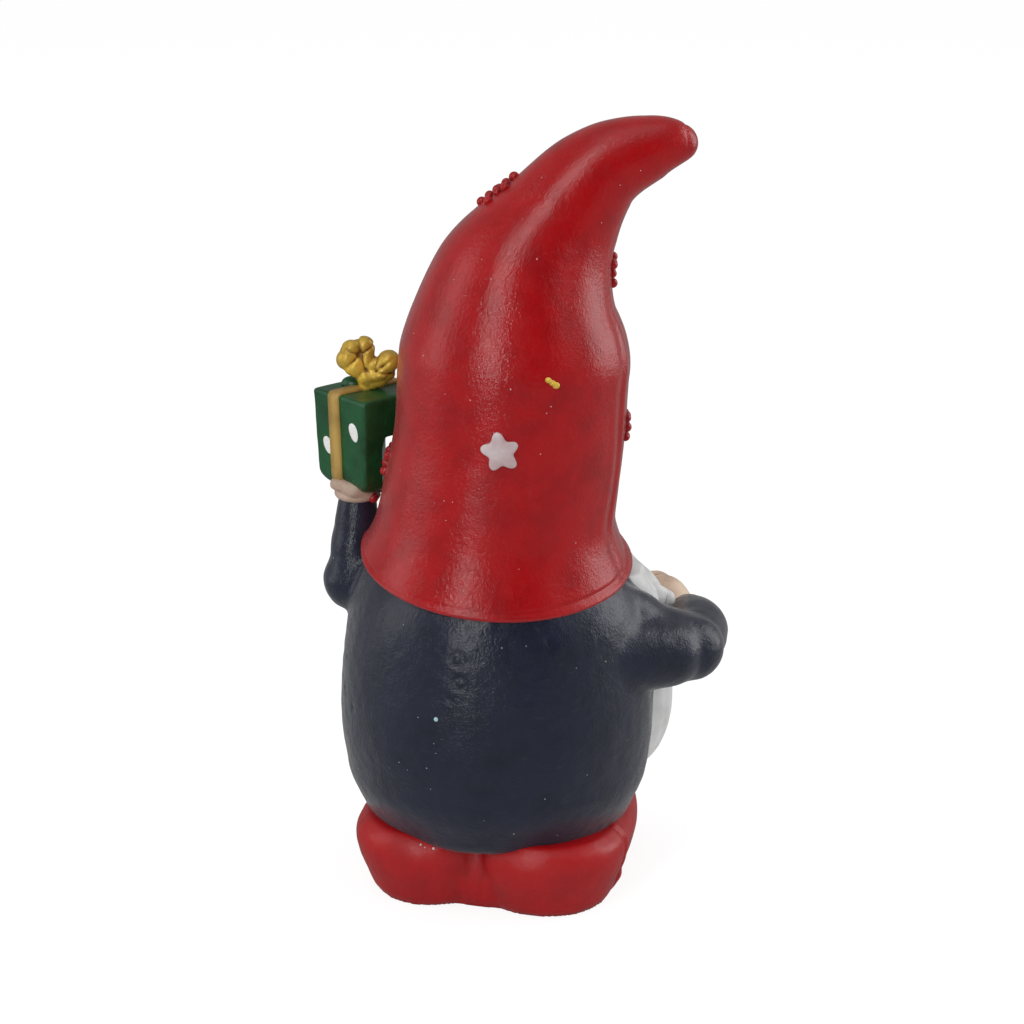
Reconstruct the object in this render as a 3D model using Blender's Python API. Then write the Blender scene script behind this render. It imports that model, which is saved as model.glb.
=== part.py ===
"""Garden gnome figurine, cast in one piece: boots, coat, raised arms, beard, tall curled hat and a present.

Metres, +Z up. The figure faces -Y, its left hand is at +X, and the flat sole lies on z = 0.
"""
import math

import bmesh
import bpy
from mathutils import Vector

# Boots
BOOT_SPACING = 0.0088
BOOT_HALF_WIDTH = 0.0104
HEEL_REACH = 0.0171
TOE_REACH = 0.0265
BOOT_HEIGHT = 0.0117
BOOT_BULGE = 0.0018
SOLE_EDGE = 0.0012
TOE_OUT = math.radians(1.0)
LEFT_BOOT_BACK = 0.0004
BOOTS_TO_RIGHT = 0.0008

# Coat, as half widths at heights that build on each other
HEM_HEIGHT = 0.0109
HEM_RADIUS = 0.0200
SKIRT_RISE = 0.0076
SKIRT_RADIUS = 0.0231
BELLY_RISE = 0.0093
BELLY_RADIUS = 0.0239
CHEST_RISE = 0.0146
CHEST_RADIUS = 0.0226
SHOULDER_RISE = 0.0086
SHOULDER_RADIUS = 0.0186
NECK_RISE = 0.0050
NECK_RADIUS = 0.0115
HEM_LIP = 0.0009
COAT_DEPTH_SHARE = 0.95

# Hat
BRIM_LIFT = 0.0008
BRIM_RADIUS = 0.0205
HAT_WAIST_RADIUS = 0.0177
HAT_BODY_RADIUS = 0.0171
HAT_CROWN_RADIUS = 0.0171
HAT_BEND_RADIUS = 0.0139
HAT_CURL_RADIUS = 0.0088
HAT_HORN_RADIUS = 0.0066
HAT_POINT_RADIUS = 0.0046
HAT_TIP_RADIUS = 0.0025
HAT_TIP_SLOPE = math.radians(25.0)
HAT_RISE = 0.0620
HAT_REACH = 0.0282
HAT_TURN = math.radians(15.0)
BRIM_DIP_BACK = 0.18
BRIM_DIP_SIDE = 0.05
RIM_THICKNESS = 0.0007

# Head, nose, moustache and beard
HEAD_HALF_WIDTH = 0.0165
HEAD_HALF_HEIGHT = 0.0100
NOSE_RADIUS = 0.0044
MOUSTACHE_RADIUS = 0.0040
MOUSTACHE_LEVEL = 0.0029
MOUSTACHE_DROOP = 0.0033
MOUSTACHE_PROUD = 0.0040
MOUSTACHE_SPREAD = math.radians(57.0)
MOUSTACHE_REACH = 0.0234
BEARD_THICKNESS = 0.0064
BEARD_SPREAD = math.radians(72.0)
BEARD_TOP_LIFT = 0.0050
BEARD_LENGTH = 0.0350
BEARD_LOCKS = 7
BEARD_LOCK_RELIEF = 0.0012
BEARD_EDGE_TUCK = 0.0008
BEARD_TUFT = 0.0016
BEARD_SUNK = 0.0025
BEARD_FOOT_START = 0.72
BEARD_FOOT_THINNING = 0.64
BEARD_ROOT_END = 0.30
BEARD_ROOT_THINNING = 0.50

# Right arm, bent at the elbow with the hand at the beard
RIGHT_SHOULDER_DROP = 0.0040
RIGHT_SHOULDER_TURN = math.radians(86.0)
UPPER_ARM_RADIUS = 0.0086
SHOULDER_SLOPE_RADIUS = 0.0062
SHOULDER_BLEND_RADIUS = 0.0054
SHOULDER_BLEND_TURN = math.radians(115.0)
ELBOW_RADIUS = 0.0051
FOREARM_RADIUS = 0.0046
CUFF_RADIUS = 0.0040
RIGHT_ELBOW_REACH = 0.0068
RIGHT_FOREARM_LENGTH = 0.0125
RIGHT_HAND_RADIUS = 0.0029

# Left arm, raised to hold the present
LEFT_SHOULDER_LIFT = 0.0028
LEFT_ELBOW_PROUD = 0.0010
LEFT_SLEEVE_RADIUS = 0.0047
LEFT_WRIST_RADIUS = 0.0029
LEFT_FOREARM_LENGTH = 0.0114
LEFT_HAND_RADIUS = 0.0035
LEFT_HAND_HEIGHT = 0.0022

# Present
BOX_TOP_WIDTH = 0.0116
BOX_BOTTOM_WIDTH = 0.0104
BOX_HEIGHT = 0.0153
BOX_TURN = math.radians(-33.0)
BOX_EDGE = 0.0005
BOX_FOOT_ROUND = 0.0028
RIBBON_WIDTH = 0.0022
RIBBON_SHIFT = 0.0008
RIBBON_THICKNESS = 0.0004
BOX_SET_IN = 0.0009
BOX_SET_FORWARD = 0.0021
BOX_SINK = 0.0008
HOLE_WIDTH = 0.0042
HOLE_DROP = 0.0062
HOLE_CHAMFER = 0.20
BOW_RISE = 0.0026
BOW_LEFT_LIFT = 0.0020
BOW_LEFT_REACH = 0.0020
BOW_LEFT_RADIUS = 0.0032
BOW_RIGHT_LIFT = 0.0015
BOW_RIGHT_REACH = 0.0038
BOW_RIGHT_RADIUS = 0.0024
BOW_FLATNESS = 0.95
KNOT_RADIUS = 0.0016

# Raised marks on the hat
STAR_RADIUS = 0.0031
STAR_WAIST = 0.0017
STAR_RELIEF = 0.0005
STAR_TURN = math.radians(8.0)
STAR_PLACE = 2.17
BEAD_RADIUS = 0.0008
BEAD_SPACING = 0.0018

# Mesh fineness
HAT_SIDES = 36
COAT_SIDES = 40
BOOT_SIDES = 32
LIMB_SIDES = 16
BALL_SIDES = 12
HEAD_SIDES = 24
BEAD_SIDES = 6
COAT_ROWS = 22
BEARD_COLUMNS = 36
BEARD_ROWS = 13
HAT_ROWS_PER_STATION = 4
LIMB_ROWS_PER_SPAN = 4
CORNER_STEPS = 3
BOX_ROWS = 4

# Directions
UP = Vector((0.0, 0.0, 1.0))
RIGHT_UPPER_ARM_WAY = Vector((-0.93, -0.35, -0.10)).normalized()
RIGHT_FOREARM_WAY = Vector((0.26, -0.95, 0.01)).normalized()
LEFT_FOREARM_WAY = Vector((-0.03, -0.16, 1.0)).normalized()
HAT_SIDE = Vector((-math.cos(HAT_TURN), -math.sin(HAT_TURN), 0.0))
HAT_BACK = Vector((-math.sin(HAT_TURN), math.cos(HAT_TURN), 0.0))

SKIRT_HEIGHT = HEM_HEIGHT + SKIRT_RISE
BELLY_HEIGHT = SKIRT_HEIGHT + BELLY_RISE
CHEST_HEIGHT = BELLY_HEIGHT + CHEST_RISE
SHOULDER_HEIGHT = CHEST_HEIGHT + SHOULDER_RISE
NECK_HEIGHT = SHOULDER_HEIGHT + NECK_RISE
BRIM_HEIGHT = SHOULDER_HEIGHT + BRIM_LIFT

COAT_PROFILE = (
    (HEM_HEIGHT, HEM_RADIUS),
    (SKIRT_HEIGHT, SKIRT_RADIUS),
    (BELLY_HEIGHT, BELLY_RADIUS),
    (CHEST_HEIGHT, CHEST_RADIUS),
    (SHOULDER_HEIGHT, SHOULDER_RADIUS),
    (NECK_HEIGHT, NECK_RADIUS),
)

# Hat stations: share of the reach to the side, share of the rise, radius
HAT_STATIONS = (
    (0.000, 0.000, BRIM_RADIUS),
    (0.013, 0.126, HAT_WAIST_RADIUS),
    (0.068, 0.302, HAT_BODY_RADIUS),
    (0.094, 0.481, HAT_CROWN_RADIUS),
    (0.160, 0.672, HAT_BEND_RADIUS),
    (0.352, 0.840, HAT_CURL_RADIUS),
    (0.550, 0.944, HAT_HORN_RADIUS),
    (0.810, 0.994, HAT_POINT_RADIUS),
    (0.975, 1.005, HAT_TIP_RADIUS),
)


def clear_scene():
    """Remove every object that is in the scene."""
    for item in list(bpy.data.objects):
        bpy.data.objects.remove(item, do_unlink=True)


def paint(name, colour, roughness, metallic=0.0):
    """A Principled material of one colour."""
    material = bpy.data.materials.new(name)
    material.use_nodes = True
    shader = material.node_tree.nodes["Principled BSDF"]
    shader.inputs["Base Color"].default_value = (*colour, 1.0)
    shader.inputs["Roughness"].default_value = roughness
    shader.inputs["Metallic"].default_value = metallic
    return material


def smooth_value(stations, place):
    """Read a monotone cubic curve through (place, value) stations."""
    places = [station[0] for station in stations]
    values = [station[1] for station in stations]
    if place <= places[0]:
        return values[0]
    if place >= places[-1]:
        return values[-1]
    slopes = []
    for low in range(len(places) - 1):
        slopes.append((values[low + 1] - values[low]) / (places[low + 1] - places[low]))
    tangents = [slopes[0]]
    for before, after in zip(slopes, slopes[1:]):
        if before * after <= 0.0:
            tangents.append(0.0)
        else:
            tangents.append(2.0 * before * after / (before + after))
    tangents.append(slopes[-1])
    span = 0
    while places[span + 1] < place:
        span += 1
    width = places[span + 1] - places[span]
    t = (place - places[span]) / width
    start = values[span] * (2 * t**3 - 3 * t**2 + 1) + width * tangents[span] * (t**3 - 2 * t**2 + t)
    end = values[span + 1] * (3 * t**2 - 2 * t**3) + width * tangents[span + 1] * (t**3 - t**2)
    return start + end


def curve_point(points, place):
    """Read a Catmull-Rom curve through points, at a place from 0 to their last index."""
    low = min(int(place), len(points) - 2)
    t = place - low
    before = points[max(low - 1, 0)]
    start = points[low]
    end = points[low + 1]
    after = points[min(low + 2, len(points) - 1)]
    return 0.5 * (
        2.0 * start
        + (end - before) * t
        + (2.0 * before - 5.0 * start + 4.0 * end - after) * t**2
        + (3.0 * start - before - 3.0 * end + after) * t**3
    )


def new_object(name, mesh_builder, material):
    """Turn a bmesh into an object with outward faces and smooth shading."""
    bmesh.ops.recalc_face_normals(mesh_builder, faces=mesh_builder.faces)
    mesh = bpy.data.meshes.new(name)
    mesh_builder.to_mesh(mesh)
    mesh_builder.free()
    mesh.materials.append(material)
    mesh.shade_smooth()
    item = bpy.data.objects.new(name, mesh)
    bpy.context.collection.objects.link(item)
    return item


def loft(name, rings, material):
    """Close a stack of rings of points into a solid, with a fan at each end."""
    builder = bmesh.new()
    rows = [[builder.verts.new(point) for point in ring] for ring in rings]
    sides = len(rows[0])
    for lower, upper in zip(rows, rows[1:]):
        for i in range(sides):
            j = (i + 1) % sides
            builder.faces.new((lower[i], lower[j], upper[j], upper[i]))
    for row in (rows[0], rows[-1]):
        middle = sum((vert.co for vert in row), Vector()) / sides
        pole = builder.verts.new(middle)
        for i in range(sides):
            builder.faces.new((row[i], row[(i + 1) % sides], pole))
    return new_object(name, builder, material)


def ring_points(centre, across, along, half_across, half_along, sides):
    """Points of an ellipse about a centre in the plane of two unit vectors."""
    points = []
    for i in range(sides):
        angle = math.tau * i / sides
        points.append(
            centre + across * (half_across * math.cos(angle)) + along * (half_along * math.sin(angle))
        )
    return points


def limb(name, points, radii, material, flatness=1.0, hint=UP):
    """Sweep a round or flattened section along points, with rounded ends."""
    sides = LIMB_SIDES
    steps = LIMB_ROWS_PER_SPAN
    count = (len(points) - 1) * steps
    stations = list(enumerate(radii))
    path = [curve_point(points, i / steps) for i in range(count + 1)]
    sizes = [smooth_value(stations, i / steps) for i in range(count + 1)]
    rings = []
    for i, (centre, size) in enumerate(zip(path, sizes)):
        tangent = (path[min(i + 1, count)] - path[max(i - 1, 0)]).normalized()
        across = tangent.cross(hint).normalized()
        along = across.cross(tangent).normalized()
        if i == 0:
            rings.extend(end_rings(centre, tangent, across, along, size, flatness, sides, -1.0))
        rings.append(ring_points(centre, across, along, size * flatness, size, sides))
        if i == count:
            rings.extend(end_rings(centre, tangent, across, along, size, flatness, sides, 1.0))
    return loft(name, rings, material)


def end_rings(centre, tangent, across, along, size, flatness, sides, direction):
    """Two rings that round off a limb, nearest the limb first at its far end."""
    rings = []
    for angle in (math.radians(35.0), math.radians(65.0)):
        middle = centre + tangent * (direction * size * math.sin(angle))
        shrink = math.cos(angle)
        rings.append(ring_points(middle, across, along, size * flatness * shrink, size * shrink, sides))
    return rings if direction > 0 else rings[::-1]


def ball(name, centre, radii, material, sides=BALL_SIDES):
    """An ellipsoid about a centre."""
    rows = sides // 2
    rings = []
    for row in range(1, rows):
        angle = math.pi * row / rows
        middle = centre - UP * (radii[2] * math.cos(angle))
        across = Vector((1.0, 0.0, 0.0))
        along = Vector((0.0, 1.0, 0.0))
        spread = math.sin(angle)
        rings.append(ring_points(middle, across, along, radii[0] * spread, radii[1] * spread, sides))
    builder = bmesh.new()
    verts = [[builder.verts.new(point) for point in ring] for ring in rings]
    for lower, upper in zip(verts, verts[1:]):
        for i in range(sides):
            j = (i + 1) % sides
            builder.faces.new((lower[i], lower[j], upper[j], upper[i]))
    for row, height in ((verts[0], -radii[2]), (verts[-1], radii[2])):
        pole = builder.verts.new(centre + UP * height)
        for i in range(sides):
            builder.faces.new((row[i], row[(i + 1) % sides], pole))
    return new_object(name, builder, material)


def coat_radius(height):
    """Half width of the coat at a height."""
    return smooth_value(COAT_PROFILE, height)


def coat_point(angle, height, proud=0.0):
    """A point on the coat, at an angle from the front towards the figure's right."""
    reach = coat_radius(height) + proud
    x = -reach * math.sin(angle)
    y = -reach * COAT_DEPTH_SHARE * math.cos(angle)
    return Vector((x, y, height))


def hat_axis():
    """Centre points of the hat's stations."""
    base = UP * BRIM_HEIGHT
    centres = []
    for reach, rise, _ in HAT_STATIONS:
        centres.append(base + HAT_SIDE * (HAT_REACH * reach) + UP * (HAT_RISE * rise))
    return centres


def hat_radius(place):
    """Radius of the hat at a place from 0, the brim, to the last station's index."""
    stations = [(index, station[2]) for index, station in enumerate(HAT_STATIONS)]
    return smooth_value(stations, place)


def hat_frame(place):
    """Centre, side and back vectors of the hat's section at a place."""
    centres = hat_axis()
    step = 0.05
    last = len(centres) - 1
    centre = curve_point(centres, place)
    ahead = curve_point(centres, min(place + step, last))
    behind = curve_point(centres, max(place - step, 0.0))
    tangent = (ahead - behind).normalized()
    brim_normal = (UP + HAT_BACK * BRIM_DIP_BACK + HAT_SIDE * BRIM_DIP_SIDE).normalized()
    share = min(place / 2.0, 1.0)
    normal = brim_normal.lerp(tangent, share).normalized()
    back = (HAT_BACK - normal * HAT_BACK.dot(normal)).normalized()
    side = normal.cross(back)
    return centre, side, back, normal


def hat_point(place, angle, proud=0.0):
    """A point on the hat, at an angle from its back towards the side it leans to, and the normal there."""
    centre, side, back, _ = hat_frame(place)
    outward = back * math.cos(angle) + side * math.sin(angle)
    return centre + outward * (hat_radius(place) + proud), outward


def make_hat(material):
    """The tall hat with its rolled rim, curled to the figure's right."""
    centre, side, back, normal = hat_frame(0.0)
    rings = []
    for inset, drop in ((3.0, 0.3), (1.0, 1.0), (0.2, 0.6)):
        middle = centre - normal * (RIM_THICKNESS * drop)
        size = BRIM_RADIUS - RIM_THICKNESS * inset
        rings.append(ring_points(middle, side, back, size, size, HAT_SIDES))
    last = len(HAT_STATIONS) - 1
    for i in range(last * HAT_ROWS_PER_STATION + 1):
        place = i / HAT_ROWS_PER_STATION
        middle, side, back, normal = hat_frame(place)
        size = hat_radius(place)
        rings.append(ring_points(middle, side, back, size, size, HAT_SIDES))
    cap_radius = HAT_TIP_RADIUS / math.cos(HAT_TIP_SLOPE)
    for share in (0.33, 0.66):
        angle = HAT_TIP_SLOPE + (0.5 * math.pi - HAT_TIP_SLOPE) * share
        tip = middle + normal * (cap_radius * (math.sin(angle) - math.sin(HAT_TIP_SLOPE)))
        size = cap_radius * math.cos(angle)
        rings.append(ring_points(tip, side, back, size, size, HAT_SIDES))
    return loft("hat", rings, material)


def make_coat(material):
    """The round coat, from inside the boots to inside the hat."""
    rings = []
    under = HEM_HEIGHT - HEM_LIP
    rings.append(coat_ring(under, HEM_RADIUS - 3.0 * HEM_LIP))
    rings.append(coat_ring(under, HEM_RADIUS - HEM_LIP))
    for i in range(COAT_ROWS + 1):
        height = HEM_HEIGHT + (NECK_HEIGHT - HEM_HEIGHT) * i / COAT_ROWS
        rings.append(coat_ring(height, coat_radius(height)))
    return loft("coat", rings, material)


def coat_ring(height, radius):
    """One level ring of the coat."""
    across = Vector((1.0, 0.0, 0.0))
    along = Vector((0.0, 1.0, 0.0))
    return ring_points(UP * height, across, along, radius, radius * COAT_DEPTH_SHARE, COAT_SIDES)


def make_boot(name, mirror, set_back, material):
    """One boot with a round heel, straight sides and a domed toe, set back a little."""
    heel_centre = HEEL_REACH - BOOT_HALF_WIDTH
    # share of the height, share of the bulge, share of the toe's reach
    levels = (
        (0.00, -1.0 * SOLE_EDGE / BOOT_BULGE, 0.97),
        (0.06, -0.5 * SOLE_EDGE / BOOT_BULGE, 1.00),
        (0.28, 0.20, 1.02),
        (0.52, 0.75, 0.98),
        (0.72, 1.00, 0.90),
        (0.88, 0.80, 0.76),
        (1.00, 0.00, 0.55),
    )
    rings = []
    for rise, bulge, toe in levels:
        grow = BOOT_BULGE * bulge
        ring = []
        for i in range(BOOT_SIDES):
            angle = math.tau * i / BOOT_SIDES
            x = (BOOT_HALF_WIDTH + grow) * math.cos(angle)
            if math.sin(angle) >= 0.0:
                y = heel_centre + (BOOT_HALF_WIDTH + grow) * math.sin(angle)
            else:
                y = heel_centre + (TOE_REACH * toe + heel_centre) * math.sin(angle)
            turned_x = x * math.cos(TOE_OUT) - y * math.sin(TOE_OUT)
            turned_y = x * math.sin(TOE_OUT) + y * math.cos(TOE_OUT)
            place = mirror * (BOOT_SPACING + turned_x) - BOOTS_TO_RIGHT
            ring.append(Vector((place, turned_y + set_back, BOOT_HEIGHT * rise)))
        rings.append(ring)
    return loft(name, rings, material)


def right_arm_points():
    """Shoulder, elbow and cuff of the right arm."""
    shoulder = coat_point(RIGHT_SHOULDER_TURN, CHEST_HEIGHT - RIGHT_SHOULDER_DROP, -UPPER_ARM_RADIUS)
    elbow = shoulder + RIGHT_UPPER_ARM_WAY * (UPPER_ARM_RADIUS + RIGHT_ELBOW_REACH)
    cuff = elbow + RIGHT_FOREARM_WAY * RIGHT_FOREARM_LENGTH
    return shoulder, elbow, cuff


def left_arm_points():
    """Shoulder, elbow and wrist of the left arm."""
    level = CHEST_HEIGHT + LEFT_SHOULDER_LIFT
    shoulder = coat_point(-0.5 * math.pi, level, -1.6 * LEFT_SLEEVE_RADIUS)
    elbow = coat_point(-0.5 * math.pi, level, LEFT_ELBOW_PROUD)
    wrist = elbow + LEFT_FOREARM_WAY * LEFT_FOREARM_LENGTH
    return shoulder, elbow, wrist


def make_right_arm(material):
    """The right sleeve: a sloped shoulder that runs into the back, an upper arm, and a forearm that turns in."""
    shoulder, elbow, cuff = right_arm_points()
    upper_radii = (UPPER_ARM_RADIUS, 0.5 * (UPPER_ARM_RADIUS + ELBOW_RADIUS), ELBOW_RADIUS)
    upper = limb("right_upper_arm", (shoulder, 0.5 * (shoulder + elbow), elbow), upper_radii, material)
    bow = Vector((-1.0, 0.0, 0.3)) * (0.3 * FOREARM_RADIUS)
    start = elbow + Vector((0.0, -0.35, 0.0)) * ELBOW_RADIUS
    lower_radii = (FOREARM_RADIUS, FOREARM_RADIUS, CUFF_RADIUS)
    lower = limb("right_forearm", (start, 0.5 * (start + cuff) + bow, cuff), lower_radii, material)
    slope_start = coat_point(RIGHT_SHOULDER_TURN, SHOULDER_HEIGHT, -SHOULDER_SLOPE_RADIUS)
    slope_start = slope_start - UP * (0.6 * SHOULDER_SLOPE_RADIUS)
    slope_end = 0.5 * (shoulder + elbow) + UP * (0.15 * SHOULDER_SLOPE_RADIUS)
    slope_middle = 0.5 * (slope_start + slope_end)
    slope_radii = (0.9 * SHOULDER_SLOPE_RADIUS, SHOULDER_SLOPE_RADIUS, 0.95 * SHOULDER_SLOPE_RADIUS)
    slope = limb("right_shoulder", (slope_start, slope_middle, slope_end), slope_radii, material)
    blend_start = coat_point(SHOULDER_BLEND_TURN, shoulder.z, -1.3 * SHOULDER_BLEND_RADIUS)
    blend_end = shoulder.lerp(elbow, 0.75) + HAT_BACK * (0.65 * SHOULDER_BLEND_RADIUS)
    blend_radii = (1.2 * SHOULDER_BLEND_RADIUS, 1.1 * SHOULDER_BLEND_RADIUS, SHOULDER_BLEND_RADIUS)
    blend = limb("shoulder_blend", (blend_start, 0.5 * (blend_start + blend_end), blend_end), blend_radii, material)
    return [upper, lower, slope, blend]


def make_left_arm(material):
    """The left sleeve: a short upper arm and a forearm held upright."""
    shoulder, elbow, wrist = left_arm_points()
    upper_radii = (LEFT_SLEEVE_RADIUS, LEFT_SLEEVE_RADIUS, LEFT_SLEEVE_RADIUS)
    upper = limb("left_upper_arm", (shoulder, 0.5 * (shoulder + elbow), elbow), upper_radii, material)
    middle_radius = 0.5 * (LEFT_SLEEVE_RADIUS + LEFT_WRIST_RADIUS)
    lower_radii = (0.95 * LEFT_SLEEVE_RADIUS, middle_radius, LEFT_WRIST_RADIUS)
    hint = Vector((0.0, 1.0, 0.0))
    lower = limb("left_forearm", (elbow, 0.5 * (elbow + wrist), wrist), lower_radii, material, hint=hint)
    return [upper, lower]


def make_right_hand(material):
    """The right hand, closed on the end of the moustache."""
    cuff = right_arm_points()[-1]
    wrist = cuff + Vector((0.10, 0.10, 0.0)) * CUFF_RADIUS
    palm = cuff + Vector((0.90, -0.80, 0.75)) * RIGHT_HAND_RADIUS
    end = cuff + Vector((1.90, -1.10, 1.10)) * RIGHT_HAND_RADIUS
    radii = (0.9 * RIGHT_HAND_RADIUS, RIGHT_HAND_RADIUS, 0.8 * RIGHT_HAND_RADIUS)
    return limb("right_hand", (wrist, palm, end), radii, material)


def make_left_hand(material):
    """The left hand, flat under the present."""
    centre = palm_centre()
    radii = (LEFT_HAND_RADIUS, LEFT_HAND_RADIUS, LEFT_HAND_HEIGHT)
    return ball("left_hand", centre, radii, material)


def palm_centre():
    """Middle of the left palm."""
    wrist = left_arm_points()[-1]
    return wrist + UP * (0.7 * LEFT_HAND_HEIGHT + 0.2 * LEFT_WRIST_RADIUS)


def box_base():
    """Middle of the present's underside, sunk a little into the palm."""
    return palm_centre() + Vector((-BOX_SET_IN, -BOX_SET_FORWARD, BOX_SINK))


def box_axes():
    """The present's own side and depth vectors."""
    side = Vector((math.cos(BOX_TURN), math.sin(BOX_TURN), 0.0))
    depth = Vector((-math.sin(BOX_TURN), math.cos(BOX_TURN), 0.0))
    return side, depth


def box_half_width(height):
    """Half width of the present at a height above its underside, before its foot is rounded."""
    share = height / BOX_HEIGHT
    return 0.5 * (BOX_BOTTOM_WIDTH + (BOX_TOP_WIDTH - BOX_BOTTOM_WIDTH) * share)


def box_levels(edge):
    """Heights and insets of the present's rings: its rounded foot, its sides and the edge of its lid."""
    levels = []
    for i in range(BOX_ROWS + 1):
        angle = 0.5 * math.pi * i / BOX_ROWS
        levels.append((BOX_FOOT_ROUND * (1.0 - math.cos(angle)), BOX_FOOT_ROUND * (1.0 - math.sin(angle))))
    for i in range(1, BOX_ROWS):
        levels.append((BOX_FOOT_ROUND + (BOX_HEIGHT - edge - BOX_FOOT_ROUND) * i / BOX_ROWS, 0.0))
    levels.append((BOX_HEIGHT - edge, 0.0))
    levels.append((BOX_HEIGHT - 0.3 * edge, 0.3 * edge))
    levels.append((BOX_HEIGHT, edge))
    return levels


def rounded_ring(centre, half_side, half_depth, corner):
    """Points of a rectangle with rounded corners, in the present's own axes."""
    side, depth = box_axes()
    ring = []
    for quarter, (x, y) in enumerate(((1, 1), (-1, 1), (-1, -1), (1, -1))):
        middle = centre + side * (x * (half_side - corner)) + depth * (y * (half_depth - corner))
        for i in range(CORNER_STEPS + 1):
            angle = 0.5 * math.pi * (quarter + i / CORNER_STEPS)
            ring.append(middle + side * (corner * math.cos(angle)) + depth * (corner * math.sin(angle)))
    return ring


def make_box(material, hole):
    """The present with its rounded foot, cut away beside the hat where the arm passes."""
    rings = []
    for height, inset in box_levels(BOX_EDGE):
        half = box_half_width(height) - inset
        rings.append(rounded_ring(box_base() + UP * height, half, half, BOX_EDGE + 0.5 * inset))
    item = loft("present_box", rings, material)
    cut(item, hole, "DIFFERENCE")
    return item


def make_hole(material):
    """A rounded slot that leaves the present's lower half clear of the hat."""
    side, _ = box_axes()
    top_height = BOX_HEIGHT - HOLE_DROP
    through = BOX_TOP_WIDTH
    middle = box_base() - side * (0.5 * BOX_BOTTOM_WIDTH + 0.2 * HOLE_WIDTH)
    start = middle + HAT_BACK * through
    end = middle - HAT_BACK * through
    rings = []
    for place in (start, end):
        ring = []
        for across, share in (
            (-1.0, -0.6),
            (-1.0, 1.0 - HOLE_CHAMFER),
            (HOLE_CHAMFER - 1.0, 1.0),
            (1.0, 1.0),
            (1.0, -0.6),
        ):
            ring.append(place + HAT_SIDE * (0.5 * HOLE_WIDTH * across) + UP * (top_height * share))
        rings.append(ring)
    return loft("hole_cutter", rings, material)


def make_ribbon(material, hole):
    """The flat ribbon round the present, raised by its thickness."""
    side, _ = box_axes()
    edge = 0.5 * RIBBON_THICKNESS
    half = 0.5 * RIBBON_WIDTH
    lift = RIBBON_THICKNESS / BOX_HEIGHT
    rings = []
    for height, inset in box_levels(BOX_EDGE):
        centre = box_base() + side * RIBBON_SHIFT + UP * (height * (1.0 + 2.0 * lift) - RIBBON_THICKNESS)
        depth = box_half_width(height) - inset + RIBBON_THICKNESS
        rings.append(rounded_ring(centre, half, depth, edge))
    item = loft("present_ribbon", rings, material)
    cut(item, hole, "DIFFERENCE")
    return item


def make_bow(material):
    """The bow: two puffed loops and a knot on the present's lid."""
    side, _ = box_axes()
    knot = box_base() + UP * (BOX_HEIGHT + BOW_RISE)
    knot_half_height = BOW_RISE + RIBBON_THICKNESS
    parts = [ball("bow_knot", knot, (KNOT_RADIUS, KNOT_RADIUS, knot_half_height), material)]
    loops = (
        ("bow_left", side * BOW_LEFT_REACH + UP * BOW_LEFT_LIFT, BOW_LEFT_RADIUS),
        ("bow_right", -side * BOW_RIGHT_REACH + UP * BOW_RIGHT_LIFT, BOW_RIGHT_RADIUS),
    )
    for name, offset, radius in loops:
        points = (knot, knot + offset * 0.5, knot + offset)
        radii = (0.6 * KNOT_RADIUS, 0.9 * radius, radius)
        parts.append(limb(name, points, radii, material, flatness=BOW_FLATNESS))
    return parts


def make_head(material):
    """The rounded head under the brim."""
    centre = Vector((0.0, -0.16 * HEAD_HALF_WIDTH, SHOULDER_HEIGHT - 0.1 * HEAD_HALF_HEIGHT))
    radii = (HEAD_HALF_WIDTH, HEAD_HALF_WIDTH, HEAD_HALF_HEIGHT)
    return ball("head", centre, radii, material, sides=HEAD_SIDES)


def nose_centre():
    """Middle of the round nose, just under the brim."""
    return coat_point(0.0, SHOULDER_HEIGHT, 0.6 * NOSE_RADIUS) - UP * (0.1 * NOSE_RADIUS)


def make_nose(material):
    """The round nose."""
    radii = (NOSE_RADIUS, NOSE_RADIUS, NOSE_RADIUS)
    return ball("nose", nose_centre(), radii, material)


def make_moustache(name, mirror, material):
    """One half of the moustache, swept round to the side of the face."""
    level = CHEST_HEIGHT + MOUSTACHE_LEVEL
    points = [nose_centre() + Vector((-mirror * 0.3, 0.1, -1.0)) * NOSE_RADIUS]
    for turn, droop, proud in ((0.35, 0.0, 1.0), (0.70, 0.9, 0.85), (1.0, 0.85, 0.5)):
        height = level - MOUSTACHE_DROOP * droop
        points.append(coat_point(mirror * MOUSTACHE_SPREAD * turn, height, MOUSTACHE_PROUD * proud))
    if mirror > 0:
        tip = Vector((-MOUSTACHE_REACH, points[-1].y, level - MOUSTACHE_DROOP))
    else:
        tip = coat_point(-1.15 * MOUSTACHE_SPREAD, level - 1.3 * MOUSTACHE_DROOP, 0.2 * MOUSTACHE_PROUD)
    points.append(tip)
    sizes = [MOUSTACHE_RADIUS * share for share in (0.60, 1.00, 0.72, 0.60, 0.36)]
    return limb(name, points, sizes, material, flatness=0.8)


def beard_proud(angle, share):
    """How far the beard stands off the coat, at an angle and a share of its length from the top."""
    edge = 1.0 - (abs(angle) / BEARD_SPREAD) ** 8
    foot_share = max(share - BEARD_FOOT_START, 0.0) / (1.0 - BEARD_FOOT_START)
    foot = 1.0 - BEARD_FOOT_THINNING * foot_share**2
    root = 1.0 - BEARD_ROOT_THINNING * max(1.0 - share / BEARD_ROOT_END, 0.0) ** 2
    return (BEARD_THICKNESS - BEARD_LOCK_RELIEF * beard_groove(angle, share)) * edge * foot * root


def beard_groove(angle, share):
    """Depth of the grooves between the locks, from 0 on a lock's crown to 1 in a groove."""
    wave = math.cos(angle / BEARD_SPREAD * math.pi * BEARD_LOCKS + 2.4 * share)
    return (0.5 + 0.5 * wave) ** 2


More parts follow.
